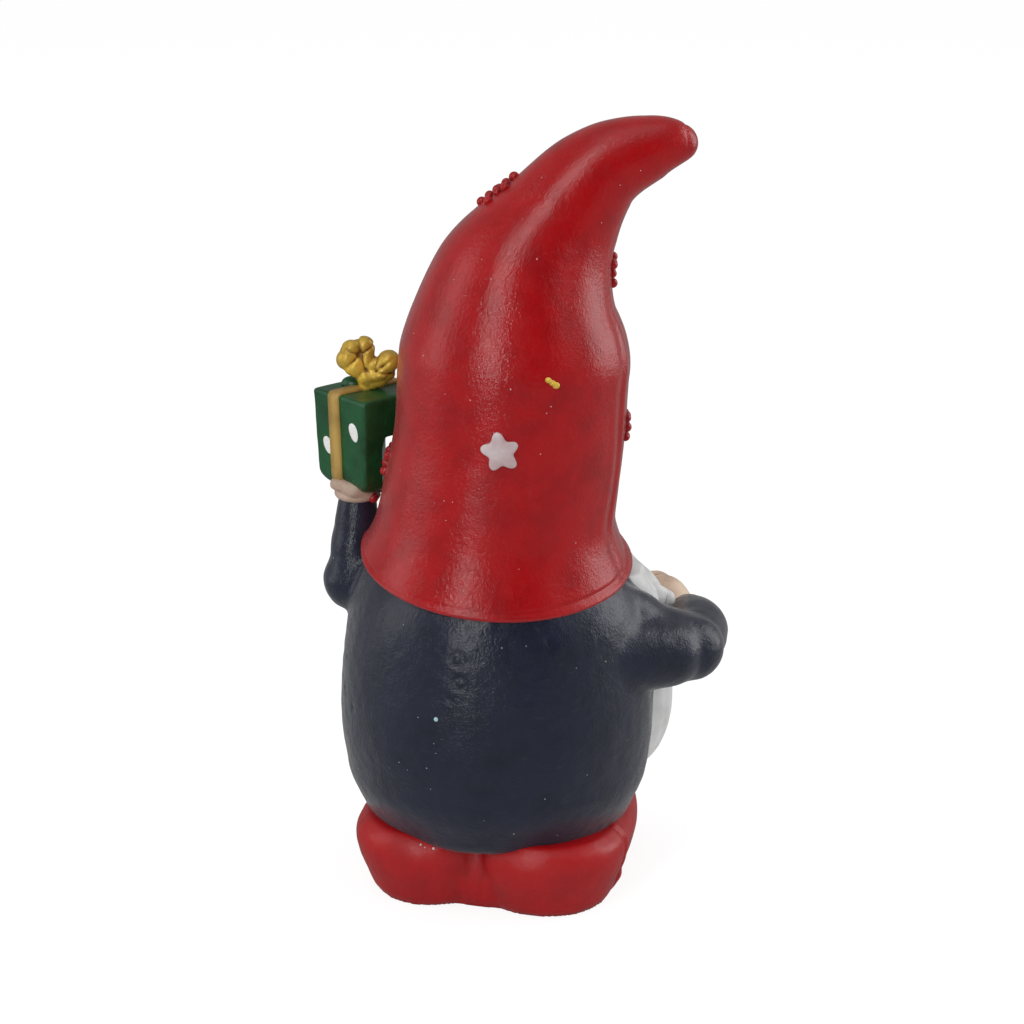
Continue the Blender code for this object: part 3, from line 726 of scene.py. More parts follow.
class Casting:
    """One painted region of the figure, built as a closed mesh at the origin."""

    def __init__(self, name: str, finish: PaintFinish) -> None:
        """Keep the region's name and paint."""
        self.name = name
        self.finish = finish

    def place(self, shells: Sequence[Shell]) -> Object:
        """Make the object from finished shells.

        Args:
            shells: Closed shells of this region.

        Returns:
            The new object.
        """
        mesh = new_mesh(self.name, shells)
        # The hollow share drives painted shade in hollows and a painted highlight on ridges.
        hollow = mesh.attributes.new("hollow", "FLOAT", "POINT")
        hollow.data.foreach_set("value", hollow_share(mesh))
        mesh.materials.append(self.finish.build())
        return self.dress(mesh)

    def dress(self, mesh: Mesh) -> Object:
        """Link a mesh as this piece and tie it to the casting.

        Args:
            mesh: A closed mesh with its material.

        Returns:
            The new object.
        """
        mesh.name = self.name
        mesh.shade_smooth()
        item = bpy.data.objects.new(self.name, mesh)
        bpy.context.scene.collection.objects.link(item)
        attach(item, "root")
        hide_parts(NODE)
        triangles = sum(len(face.vertices) - 2 for face in mesh.polygons)
        LOG.info("%s: %d triangles", self.name, triangles)
        return item


def hand_made(points: Array, seed: int, broad: float = 0.16 * MM, small: float = 0.035 * MM) -> Array:
    """The slow unevenness of a hand-carved master.

    Args:
        points: Surface points.
        seed: Picks the pattern.
        broad: Height of the broad swells.
        small: Height of the small dents.

    Returns:
        Heights along the normals.
    """
    heights = broad * value_noise(points, 9.0 * MM, seed)
    heights += 0.4 * broad * value_noise(points, 4.0 * MM, seed + 1)
    return heights + small * value_noise(points, 1.4 * MM, seed + 2)


@dataclass
class Coat:
    """The round coat with both sleeves."""

    stations: tuple = (
        (0.0109, 0.0200), (0.0185, 0.0231), (0.0278, 0.0239),
        (0.0424, 0.0226), (0.0510, 0.0186), (0.0560, 0.0115),
    )
    depth_share: float = 0.95
    hem_lip: float = 0.0009
    upper_arm_radius: float = 0.0086
    slope_radius: float = 0.0062
    blend_radius: float = 0.0054
    blend_turn: float = radians(115.0)
    elbow_radius: float = 0.0051
    forearm_radius: float = 0.0046
    cuff_radius: float = 0.0040
    right_elbow_reach: float = 0.0068
    right_forearm_length: float = 0.0125
    right_shoulder_drop: float = 0.0040
    right_shoulder_turn: float = radians(86.0)
    left_sleeve_radius: float = 0.0047
    left_wrist_radius: float = 0.0029
    left_forearm_length: float = 0.0114
    left_shoulder_lift: float = 0.0028
    left_cuff_lift: float = 0.0016
    left_elbow_proud: float = 0.0010
    rings: tuple = ((0.2, 21.5, 42.2, 0.87), (-0.4, 21.9, 38.7, 0.90))
    pits: tuple = (
        (-17.0, 15.4, 35.0, 0.45), (-18.1, 14.6, 31.7, 0.35), (-23.2, -2.2, 31.6, 1.25),
        (20.3, 10.8, 36.7, 0.5), (20.6, 11.1, 32.1, 0.5), (20.3, 11.7, 31.1, 0.4), (18.6, 14.1, 30.1, 0.5),
        (-1.6, 20.7, 45.0, 0.5), (-1.1, 20.0, 46.8, 0.4), (-2.9, 21.0, 43.5, 0.4), (1.1, 22.2, 36.1, 0.5),
        (-11.1, 17.1, 46.6, 0.5), (-12.3, 17.2, 44.9, 0.6),
    )
    ring_depth: float = 0.20 * MM
    ring_width: float = 0.22 * MM
    pit_depth_share: float = 0.35
    pit_width_share: float = 0.8
    shoulder_hollow: tuple = (-19.5, -4.5, 48.8)
    shoulder_hollow_depth: float = 1.3 * MM
    shoulder_hollow_width: float = 3.6 * MM
    fold_height: float = 0.07 * MM
    fold_pitch: float = 1.05 * MM
    crease_depth: float = 0.12 * MM
    crease_width: float = 0.5 * MM
    puff_height: float = 0.20 * MM
    puff_pitch: float = 0.85 * MM
    barrel_rows: int = 90
    barrel_sides: int = 120
    fusing_rounds: int = 34

    @property
    def chest_height(self) -> float:
        """Height of the chest's station."""
        return self.stations[3][0]

    @property
    def shoulder_height(self) -> float:
        """Height of the shoulder's station."""
        return self.stations[4][0]

    def radius(self, height: Array | float) -> Array:
        """Half width of the coat at a height."""
        places, values = zip(*self.stations)
        return monotone_curve(places, values, np.atleast_1d(height))

    def point(self, angle: float, height: float, proud: float = 0.0) -> Array:
        """A point on the coat, at an angle from the front towards the figure's right."""
        reach = float(self.radius(height)[0]) + proud
        return np.array((-reach * sin(angle), -reach * self.depth_share * cos(angle), height))

    def right_arm(self) -> tuple[Array, Array, Array]:
        """Middle lines of the right arm.

        Returns:
            The shoulder, the elbow and the cuff.
        """
        height = self.chest_height - self.right_shoulder_drop
        shoulder = self.point(self.right_shoulder_turn, height, -self.upper_arm_radius)
        reach = self.upper_arm_radius + self.right_elbow_reach
        elbow = shoulder + unit(np.array((-0.93, -0.35, -0.10))) * reach
        cuff = elbow + unit(np.array((0.26, -0.95, 0.01))) * self.right_forearm_length
        return shoulder, elbow, cuff

    def left_arm(self) -> tuple[Array, Array, Array]:
        """Middle lines of the left arm.

        Returns:
            The shoulder, the elbow and the wrist.
        """
        level = self.chest_height + self.left_shoulder_lift
        shoulder = self.point(-0.5 * pi, level, -1.6 * self.left_sleeve_radius)
        elbow = self.point(-0.5 * pi, level, self.left_elbow_proud)
        wrist = elbow + unit(np.array((-0.03, -0.16, 1.0))) * self.left_forearm_length
        return shoulder, elbow, wrist

    def barrel(self) -> Shell:
        """The coat's body, from inside the boots to inside the hat.

        Returns:
            The closed body.
        """
        hem, neck = self.stations[0], self.stations[-1]
        heights = np.linspace(hem[0], neck[0], self.barrel_rows)
        rings = []
        for height, radius in (
            (hem[0] - self.hem_lip, hem[1] - 3.0 * self.hem_lip),
            (hem[0] - self.hem_lip, hem[1] - self.hem_lip),
            *zip(heights, self.radius(heights)),
        ):
            across = np.array((radius, 0.0, 0.0))
            along = np.array((0.0, radius * self.depth_share, 0.0))
            rings.append(ellipse_ring(UP * height, across, along, self.barrel_sides))
        return loft(rings)

    def sleeves(self) -> list[Shell]:
        """Both sleeves, with the slope and the blend that join the right one to the shoulder.

        Returns:
            Six closed limbs that overlap.
        """
        shoulder, elbow, cuff = self.right_arm()
        middle = 0.5 * (self.upper_arm_radius + self.elbow_radius)
        upper_sizes = (self.upper_arm_radius, middle, self.elbow_radius)
        upper = limb((shoulder, 0.5 * (shoulder + elbow), elbow), upper_sizes)
        bow = np.array((-1.0, 0.0, 0.3)) * (0.3 * self.forearm_radius)
        start = elbow + np.array((0.0, -0.35, 0.0)) * self.elbow_radius
        lower_sizes = (self.forearm_radius, self.forearm_radius, self.cuff_radius)
        lower = limb((start, 0.5 * (start + cuff) + bow, cuff), lower_sizes)
        slope_start = self.point(self.right_shoulder_turn, self.shoulder_height, -self.slope_radius)
        slope_start = slope_start - UP * (0.6 * self.slope_radius)
        slope_end = 0.5 * (shoulder + elbow) + UP * (0.15 * self.slope_radius)
        slope_sizes = (0.9 * self.slope_radius, self.slope_radius, 0.95 * self.slope_radius)
        slope = limb((slope_start, 0.5 * (slope_start + slope_end), slope_end), slope_sizes)
        blend_start = self.point(self.blend_turn, float(shoulder[2]), -1.3 * self.blend_radius)
        blend_end = shoulder + 0.75 * (elbow - shoulder) + BACK * (0.45 * self.blend_radius)
        blend_sizes = (1.2 * self.blend_radius, 1.1 * self.blend_radius, self.blend_radius)
        blend = limb((blend_start, 0.5 * (blend_start + blend_end), blend_end), blend_sizes)
        left_shoulder, left_elbow, wrist = self.left_arm()
        size = self.left_sleeve_radius
        left_upper = limb((left_shoulder, 0.5 * (left_shoulder + left_elbow), left_elbow), (size, size, size))
        left_lower = limb(
            (left_elbow, 0.5 * (left_elbow + wrist), wrist + UP * self.left_cuff_lift),
            (0.95 * size, 0.5 * (size + self.left_wrist_radius), self.left_wrist_radius),
            hint=np.array((0.0, 1.0, 0.0)),
        )
        return [upper, lower, slope, blend, left_upper, left_lower]

    def relief(self, points: Array) -> Array:
        """Folds, casting bubbles and dents.

        Args:
            points: The coat's surface points.

        Returns:
            Heights along the normals.
        """
        heights = hand_made(points, 11, 0.14 * MM, 0.05 * MM)
        for x, y, z, size in self.rings:
            distance = np.linalg.norm(points - np.array((x, y, z)) * MM, axis=1)
            heights -= self.ring_depth * bell(distance - size * MM, self.ring_width)
        for x, y, z, size in self.pits:
            distance = np.linalg.norm(points - np.array((x, y, z)) * MM, axis=1)
            heights -= self.pit_depth_share * size * MM * bell(distance, self.pit_width_share * size * MM)
        to_hollow = np.linalg.norm(points - np.array(self.shoulder_hollow) * MM, axis=1)
        heights -= self.shoulder_hollow_depth * bell(to_hollow, self.shoulder_hollow_width)
        return heights + self.right_folds(points) + self.left_folds(points)

    def right_folds(self, points: Array) -> Array:
        """Folds along the right forearm and a crease at its elbow.

        Args:
            points: The coat's surface points.

        Returns:
            Heights along the normals.
        """
        _, elbow, cuff = self.right_arm()
        run = (points - elbow) @ unit(cuff - elbow)
        near_arm = bell(np.linalg.norm(points - (elbow + cuff) * 0.5, axis=1), 7.5 * MM)
        fold = np.sin(run / self.fold_pitch + 1.3 * value_noise(points, 3.0 * MM, 5))
        crease = run - 0.6 * MM + 0.5 * MM * value_noise(points, 3.0 * MM, 8)
        heights = self.fold_height * fold * near_arm * bell(run - 3.0 * MM, 4.0 * MM)
        return heights - self.crease_depth * bell(crease, self.crease_width) * near_arm

    def left_folds(self, points: Array) -> Array:
        """Puffed folds above the left elbow.

        Args:
            points: The coat's surface points.

        Returns:
            Heights along the normals.
        """
        elbow = self.left_arm()[1]
        near_arm = bell(np.linalg.norm(points - elbow - UP * 2.5 * MM, axis=1), 5.5 * MM)
        rise = points[:, 2] - elbow[2] + 0.35 * points[:, 1]
        puff = np.sin(rise / self.puff_pitch + 1.2 * value_noise(points, 2.5 * MM, 3))
        return self.puff_height * puff * near_arm

    def build(self) -> Object:
        """Make the coat's piece."""
        forms = [self.barrel(), *self.sleeves()]
        shell = fused("coat_form", forms, Fineness.LARGE.value, self.fusing_rounds)
        return Casting("coat", NAVY).place([raised(shell, self.relief(shell.points))])


@dataclass
class Boots:
    """Both boots, joined at the heels on one flat sole."""

    spacing: float = 0.0088
    to_right: float = 0.0008
    half_width: float = 0.0104
    heel_reach: float = 0.0171
    toe_reach: float = 0.0265
    height: float = 0.0117
    bulge: float = 0.0018
    sole_edge: float = 0.0012
    toe_out: float = radians(1.0)
    left_back: float = 0.0004
    rises: tuple = (0.00, 0.06, 0.28, 0.52, 0.72, 0.88, 1.00)
    toe_shares: tuple = (0.97, 1.00, 1.02, 0.98, 0.90, 0.76, 0.55)
    bridge_size: tuple = (0.0115, 0.0056, 0.0080)
    bridge_set_in: float = 0.0064
    bridge_height: float = 0.0054
    seam_place: float = 4.2 * MM
    seam_ridge: float = 0.22 * MM
    seam_line: float = 0.16 * MM
    nub_place: tuple = (-20.6, 3.2, 2.4)
    nub_height: float = 0.7 * MM
    heel_lines: tuple = (-1.1, 0.9)
    heel_line_depth: float = 0.14 * MM
    heel_line_width: float = 0.55 * MM
    sole_flat: float = 0.22 * MM
    fusing_rounds: int = 22

    def boot(self, mirror: float, set_back: float) -> Shell:
        """One boot.

        Args:
            mirror: 1 for the left boot and -1 for the right one.
            set_back: How far the boot stands back.

        Returns:
            The closed boot.
        """
        heel = self.heel_reach - self.half_width
        edge = -self.sole_edge / self.bulge
        bulges = (edge, 0.5 * edge, 0.20, 0.75, 1.0, 0.80, 0.0)
        rings = []
        angle = np.linspace(0.0, tau, 128, endpoint=False)
        for rise in np.concatenate(([0.0, 0.02], np.linspace(0.05, 1.0, 40))):
            grow = self.bulge * float(monotone_curve(self.rises, bulges, np.array([rise]))[0])
            toe = float(monotone_curve(self.rises, self.toe_shares, np.array([rise]))[0])
            x = (self.half_width + grow) * np.cos(angle)
            back = heel + (self.half_width + grow) * np.sin(angle)
            front = heel + (self.toe_reach * toe + heel) * np.sin(angle)
            y = np.where(np.sin(angle) >= 0.0, back, front)
            turned_x = x * cos(self.toe_out) - y * sin(self.toe_out)
            turned_y = x * sin(self.toe_out) + y * cos(self.toe_out)
            z = np.full_like(x, self.height * rise)
            across = mirror * (self.spacing + turned_x) - self.to_right
            rings.append(np.stack((across, turned_y + set_back, z), axis=1))
        return loft(rings)

    def relief(self, points: Array) -> Array:
        """Unevenness, the mould seam with its nub at the right side, and two soft lines at the heels.

        Args:
            points: The boots' surface points.

        Returns:
            Heights along the normals.
        """
        heights = hand_made(points, 31, 0.13 * MM, 0.04 * MM)
        top = np.clip((points[:, 2] - 9.8 * MM) / (1.5 * MM), 0.0, 1.0)
        heights += 0.30 * MM * top * value_noise(points, 5.0 * MM, 35)
        seam = points[:, 1] - self.seam_place - 0.16 * (points[:, 2] - 4.0 * MM)
        side = np.clip((-12.0 * MM - points[:, 0]) / (2.0 * MM), 0.0, 1.0)
        heights += self.seam_ridge * bell(seam, 0.5 * MM) * side
        heights -= self.seam_line * bell(seam - 0.9 * MM, 0.4 * MM) * side
        nub = np.linalg.norm(points - np.array(self.nub_place) * MM, axis=1)
        heights += self.nub_height * bell(nub, 1.0 * MM)
        behind = (points[:, 1] > 6.0 * MM) * np.clip(points[:, 2] / (2.0 * MM), 0.0, 1.0)
        for place in self.heel_lines:
            wander = 0.25 * MM * value_noise(points, 3.0 * MM, 39)
            line = points[:, 0] + self.to_right - place * MM + wander
            heights -= self.heel_line_depth * bell(line, self.heel_line_width) * behind
        return heights

    def build(self) -> Object:
        """Make the boots' piece.

        Returns:
            The finished piece.
        """
        bridge = (-self.to_right, self.heel_reach - self.bridge_set_in, self.bridge_height)
        boots = [self.boot(1.0, self.left_back), self.boot(-1.0, 0.0)]
        shells = [*boots, ellipsoid(bridge, self.bridge_size)]
        shell = fused("boots_form", shells, Fineness.MIDDLE.value, self.fusing_rounds)
        shell = raised(shell, self.relief(shell.points))
        flat = shell.points[:, 2] < self.sole_flat
        shell.points[flat, 2] = 0.0
        return Casting("boots", BOOT_RED).place([shell])


@dataclass
class Hat:
    """The tall curled hat, its star, its bead clusters and a stray fleck of gold."""

    brim_height: float = 0.0518
    rise: float = 0.0620
    reach: float = 0.0282
    dip_back: float = 0.18
    dip_side: float = 0.05
    rim: float = 0.0007
    stations: tuple = (
        (0.000, 0.000, 0.0205), (0.013, 0.126, 0.0177), (0.068, 0.302, 0.0171), (0.094, 0.481, 0.0171),
        (0.160, 0.672, 0.0139), (0.352, 0.840, 0.0088), (0.550, 0.944, 0.0066), (0.810, 0.994, 0.0046),
        (0.975, 1.005, 0.0025),
    )
    tip_slope: float = radians(25.0)
    sides: int = 300
    rows: int = 230
    star_place: float = 2.17
    star_turn: float = radians(-5.0)
    star_radius: float = 0.0031
    star_waist: float = 0.0017
    star_relief: float = 0.00055
    bead_radius: float = 0.0008
    bead_spacing: float = 0.0018
    rosettes: tuple = ((4.76, -97.0), (4.60, 97.0), (2.17, 97.0), (1.36, -99.0))
    side_ridges: tuple = ((69.0, 2.4, -0.22), (74.0, 3.0, 0.20), (62.0, 3.6, 0.14), (82.0, 3.4, -0.10))
    rim_edge: float = 0.10 * MM
    rim_groove: float = 0.10 * MM
    side_groove: float = 0.24 * MM
    rim_wave: float = 0.10 * MM
    pinch_turn: float = radians(96.0)
    rim_roll: tuple = ((9.0, 0.0), (5.0, 0.1), (3.0, 0.3), (1.8, 0.8), (1.0, 1.0), (0.5, 0.9), (0.2, 0.6))
    star_tilt: float = radians(8.0)
    star_bed_radius: float = 0.0172
    star_profile: tuple = (
        (1.04, -2.6), (1.03, -0.6), (1.02, 0.35), (0.97, 0.72),
        (0.88, 0.92), (0.70, 1.0), (0.45, 1.02), (0.20, 1.03),
    )
    fleck_spots: tuple = ((3.16, 15.6, 0.50), (3.10, 19.6, 0.58), (3.13, 17.6, 0.50))

    def frames(self, place: Array) -> tuple[Array, Array, Array, Array]:
        """Centre, side, back and normal of the hat's sections.

        Args:
            place: Places along the hat from 0, the brim.

        Returns:
            Four arrays with one row for each place.
        """
        table = np.asarray(self.stations)
        centres = LEAN * (self.reach * table[:, :1]) + UP * (self.brim_height + self.rise * table[:, 1:2])
        last = len(table) - 1
        centre = catmull_rom(centres, place)
        ahead = catmull_rom(centres, np.minimum(place + 0.05, last))
        behind = catmull_rom(centres, np.maximum(place - 0.05, 0.0))
        tangent = unit(ahead - behind)
        brim_normal = unit(UP + BACK * self.dip_back + LEAN * self.dip_side)
        share = np.minimum(place / 2.0, 1.0)[:, None]
        normal = unit(brim_normal * (1.0 - share) + tangent * share)
        back = unit(BACK - normal * (normal @ BACK)[:, None])
        return centre, np.cross(normal, back), back, normal

    def radius(self, place: Array) -> Array:
        """Radius of the hat at places."""
        table = np.asarray(self.stations)
        return monotone_curve(range(len(table)), table[:, 2], place)

    def point(self, place: float, angle: float, proud: float = 0.0) -> tuple[Array, Array]:
        """A point on the hat and the direction out of it.

        Args:
            place: Place along the hat.
            angle: Angle from the back towards the lean.
            proud: How far the point stands out.

        Returns:
            The point and the outward direction.
        """
        at = np.array([place])
        centre, side, back, _ = self.frames(at)
        out = back[0] * cos(angle) + side[0] * sin(angle)
        return centre[0] + out * (float(self.radius(at)[0]) + proud), out

    def relief(self, points: Array, place: Array, angle: Array) -> Array:
        """Unevenness, the long crease at the side, dents and the rolled rim.

        Args:
            points: Surface points.
            place: Place of each point along the hat.
            angle: Angle of each point from the back towards the lean.

        Returns:
            How far each point moves out.
        """
        heights = hand_made(points, 51, 0.15 * MM, 0.018 * MM)
        taper = np.clip((8.0 - place) / 3.0, 0.0, 1.0)
        wander = radians(3.0) * value_noise(np.stack((place, place * 0.0, place * 0.0), 1), 0.9, 61)
        lift = bell(place - 2.2, 1.9)
        for turn, width, depth in self.side_ridges:
            heights += depth * MM * bell(angle - radians(turn) - wander, radians(width)) * lift
        heights *= 0.3 + 0.7 * taper
        heights += self.rim_edge * bell(place, 0.055) - self.rim_groove * bell(place - 0.11, 0.045)
        beside = bell(angle - radians(48.0), radians(26.0))
        heights -= self.side_groove * bell(place - 0.15, 0.045) * beside
        pinch = 0.55 * bell(place, 0.35) + 0.35 * bell(place - 0.7, 0.6)
        heights -= pinch * MM * bell(angle - self.pinch_turn, radians(24.0))
        wave = value_noise(np.stack((np.cos(angle), np.sin(angle), place * 0.0), 1), 0.35, 63)
        return heights + self.rim_wave * wave * bell(place, 0.5)

    def cone(self) -> Shell:
        """The hat's surface from under the rim to the blunt tip.

        Returns:
            The closed cone.
        """
        angle = np.linspace(0.0, tau, self.sides, endpoint=False)
        last = len(self.stations) - 1
        place = np.concatenate((np.linspace(0.0, 0.5, 30, endpoint=False), np.linspace(0.5, last, self.rows)))
        centre, side, back, normal = self.frames(place)
        radius = self.radius(place)
        cosine, sine = np.cos(angle)[None, :, None], np.sin(angle)[None, :, None]
        out = back[:, None, :] * cosine + side[:, None, :] * sine
        grid = centre[:, None, :] + out * radius[:, None, None]
        flat = grid.reshape(-1, 3)
        heights = self.relief(flat, np.repeat(place, self.sides), np.tile(self.signed(angle), len(place)))
        grid = grid + out * heights.reshape(len(place), self.sides)[:, :, None]
        rings = []
        for inset, drop in self.rim_roll:
            size = self.stations[0][2] - self.rim * inset + self.rim_edge
            rings.append(centre[0] - normal[0] * (self.rim * drop) + out[0] * size)
        rings.extend(grid)
        cap_radius = self.stations[-1][2] / cos(self.tip_slope)
        for turn in np.linspace(self.tip_slope, 0.5 * pi, 12)[1:-1]:
            middle = centre[-1] + normal[-1] * (cap_radius * (sin(turn) - sin(self.tip_slope)))
            rings.append(middle + (grid[-1] - centre[-1]) * (cos(turn) / cos(self.tip_slope)))
        return loft(rings)

    @staticmethod
    def signed(angle: Array) -> Array:
        """Angles from -180 to 180 degrees, in radians."""
        return (angle + pi) % tau - pi

    def star(self) -> Shell:
        """The soft five-pointed star, raised from the hat.

        Returns:
            The closed star.
        """
        centre, out = self.point(self.star_place, self.star_turn, 0.0)
        across = unit(np.cross(out, UP))
        along = np.cross(across, out)
        turn = np.linspace(0.0, tau, 120, endpoint=False)
        corner = np.array([self.star_radius if i % 2 == 0 else self.star_waist for i in range(10)])
        sharp = np.interp(turn, np.arange(11) * tau / 10, np.append(corner, corner[0]))
        kernel = np.ones(9) / 9.0
        soft = np.convolve(np.concatenate((sharp[-8:], sharp, sharp[:8])), kernel, mode="same")[8:-8]
        soft = soft * (1.0 + 0.05 * np.sin(2.0 * turn + 0.7) + 0.03 * np.sin(5.0 * turn + 0.4))
        angle = turn + self.star_tilt
        spokes = across * np.sin(angle)[:, None] + along * np.cos(angle)[:, None]
        rings = []
        sink = (soft**2 / (2.0 * self.star_bed_radius) * np.sin(angle) ** 2)[:, None]
        for share, lift in self.star_profile:
            ring = centre + spokes * (soft * share)[:, None]
            rings.append(ring + out * (self.star_relief * lift - sink * share**2))
        return loft(rings)

    def build(self) -> list[Object]:
        """Make the hat, the star and the fleck.

        Returns:
            The three pieces, the hat first.
        """
        cone = self.cone()
        made = [Casting("hat", HAT_RED).place([cone])]
        star = self.star()
        star = raised(star, hand_made(star.points, 71, 0.05 * MM))
        made.append(Casting("hat_star", STAR_WHITE).place([star]))
        drops = []
        for place, turn, size in self.fleck_spots:
            centre, _ = self.point(place, radians(turn), 0.12 * MM)
            drops.append(ellipsoid(centre, np.array((size, 0.6 * size, size * 0.9)) * MM, 20))
        fleck = fused("fleck_form", drops, Fineness.SMALL.value * 0.5, 3)
        made.append(Casting("hat_fleck", GOLD).place([fleck]))
        return made


@dataclass
class Face:
    """The head under the brim and the round nose."""

    coat: Coat
    half_width: float = 0.0165
    half_height: float = 0.0100
    nose_radius: float = 0.0044
    cheek_share: float = 0.36
    cheek_spot: tuple = (0.52, -0.66, -0.06)

    def nose_centre(self) -> Array:
        """Middle of the nose."""
        height = self.coat.shoulder_height
        return self.coat.point(0.0, height, 0.6 * self.nose_radius) - UP * (0.1 * self.nose_radius)

    def build(self) -> Object:
        """Make the face's piece.

        Returns:
            The head with its nose and cheeks.
        """
        level = self.coat.shoulder_height - 0.1 * self.half_height
        centre = np.array((0.0, -0.16 * self.half_width, level))
        size = self.nose_radius
        cheek = self.half_width * self.cheek_share
        out, ahead, up = self.cheek_spot
        shells = [
            ellipsoid(centre, (self.half_width, self.half_width, self.half_height), 64),
            ellipsoid(self.nose_centre(), (size, size, size)),
        ]
        for side in (-1.0, 1.0):
            spot = np.array((side * out * self.half_width, ahead * self.half_width, up * self.half_height))
            spot = spot + centre
            shells.append(ellipsoid(spot, (cheek, cheek, 0.8 * cheek)))
        shell = fused("face_form", shells, Fineness.MIDDLE.value, 6)
        return Casting("face", SKIN).place([raised(shell, hand_made(shell.points, 81, 0.06 * MM))])


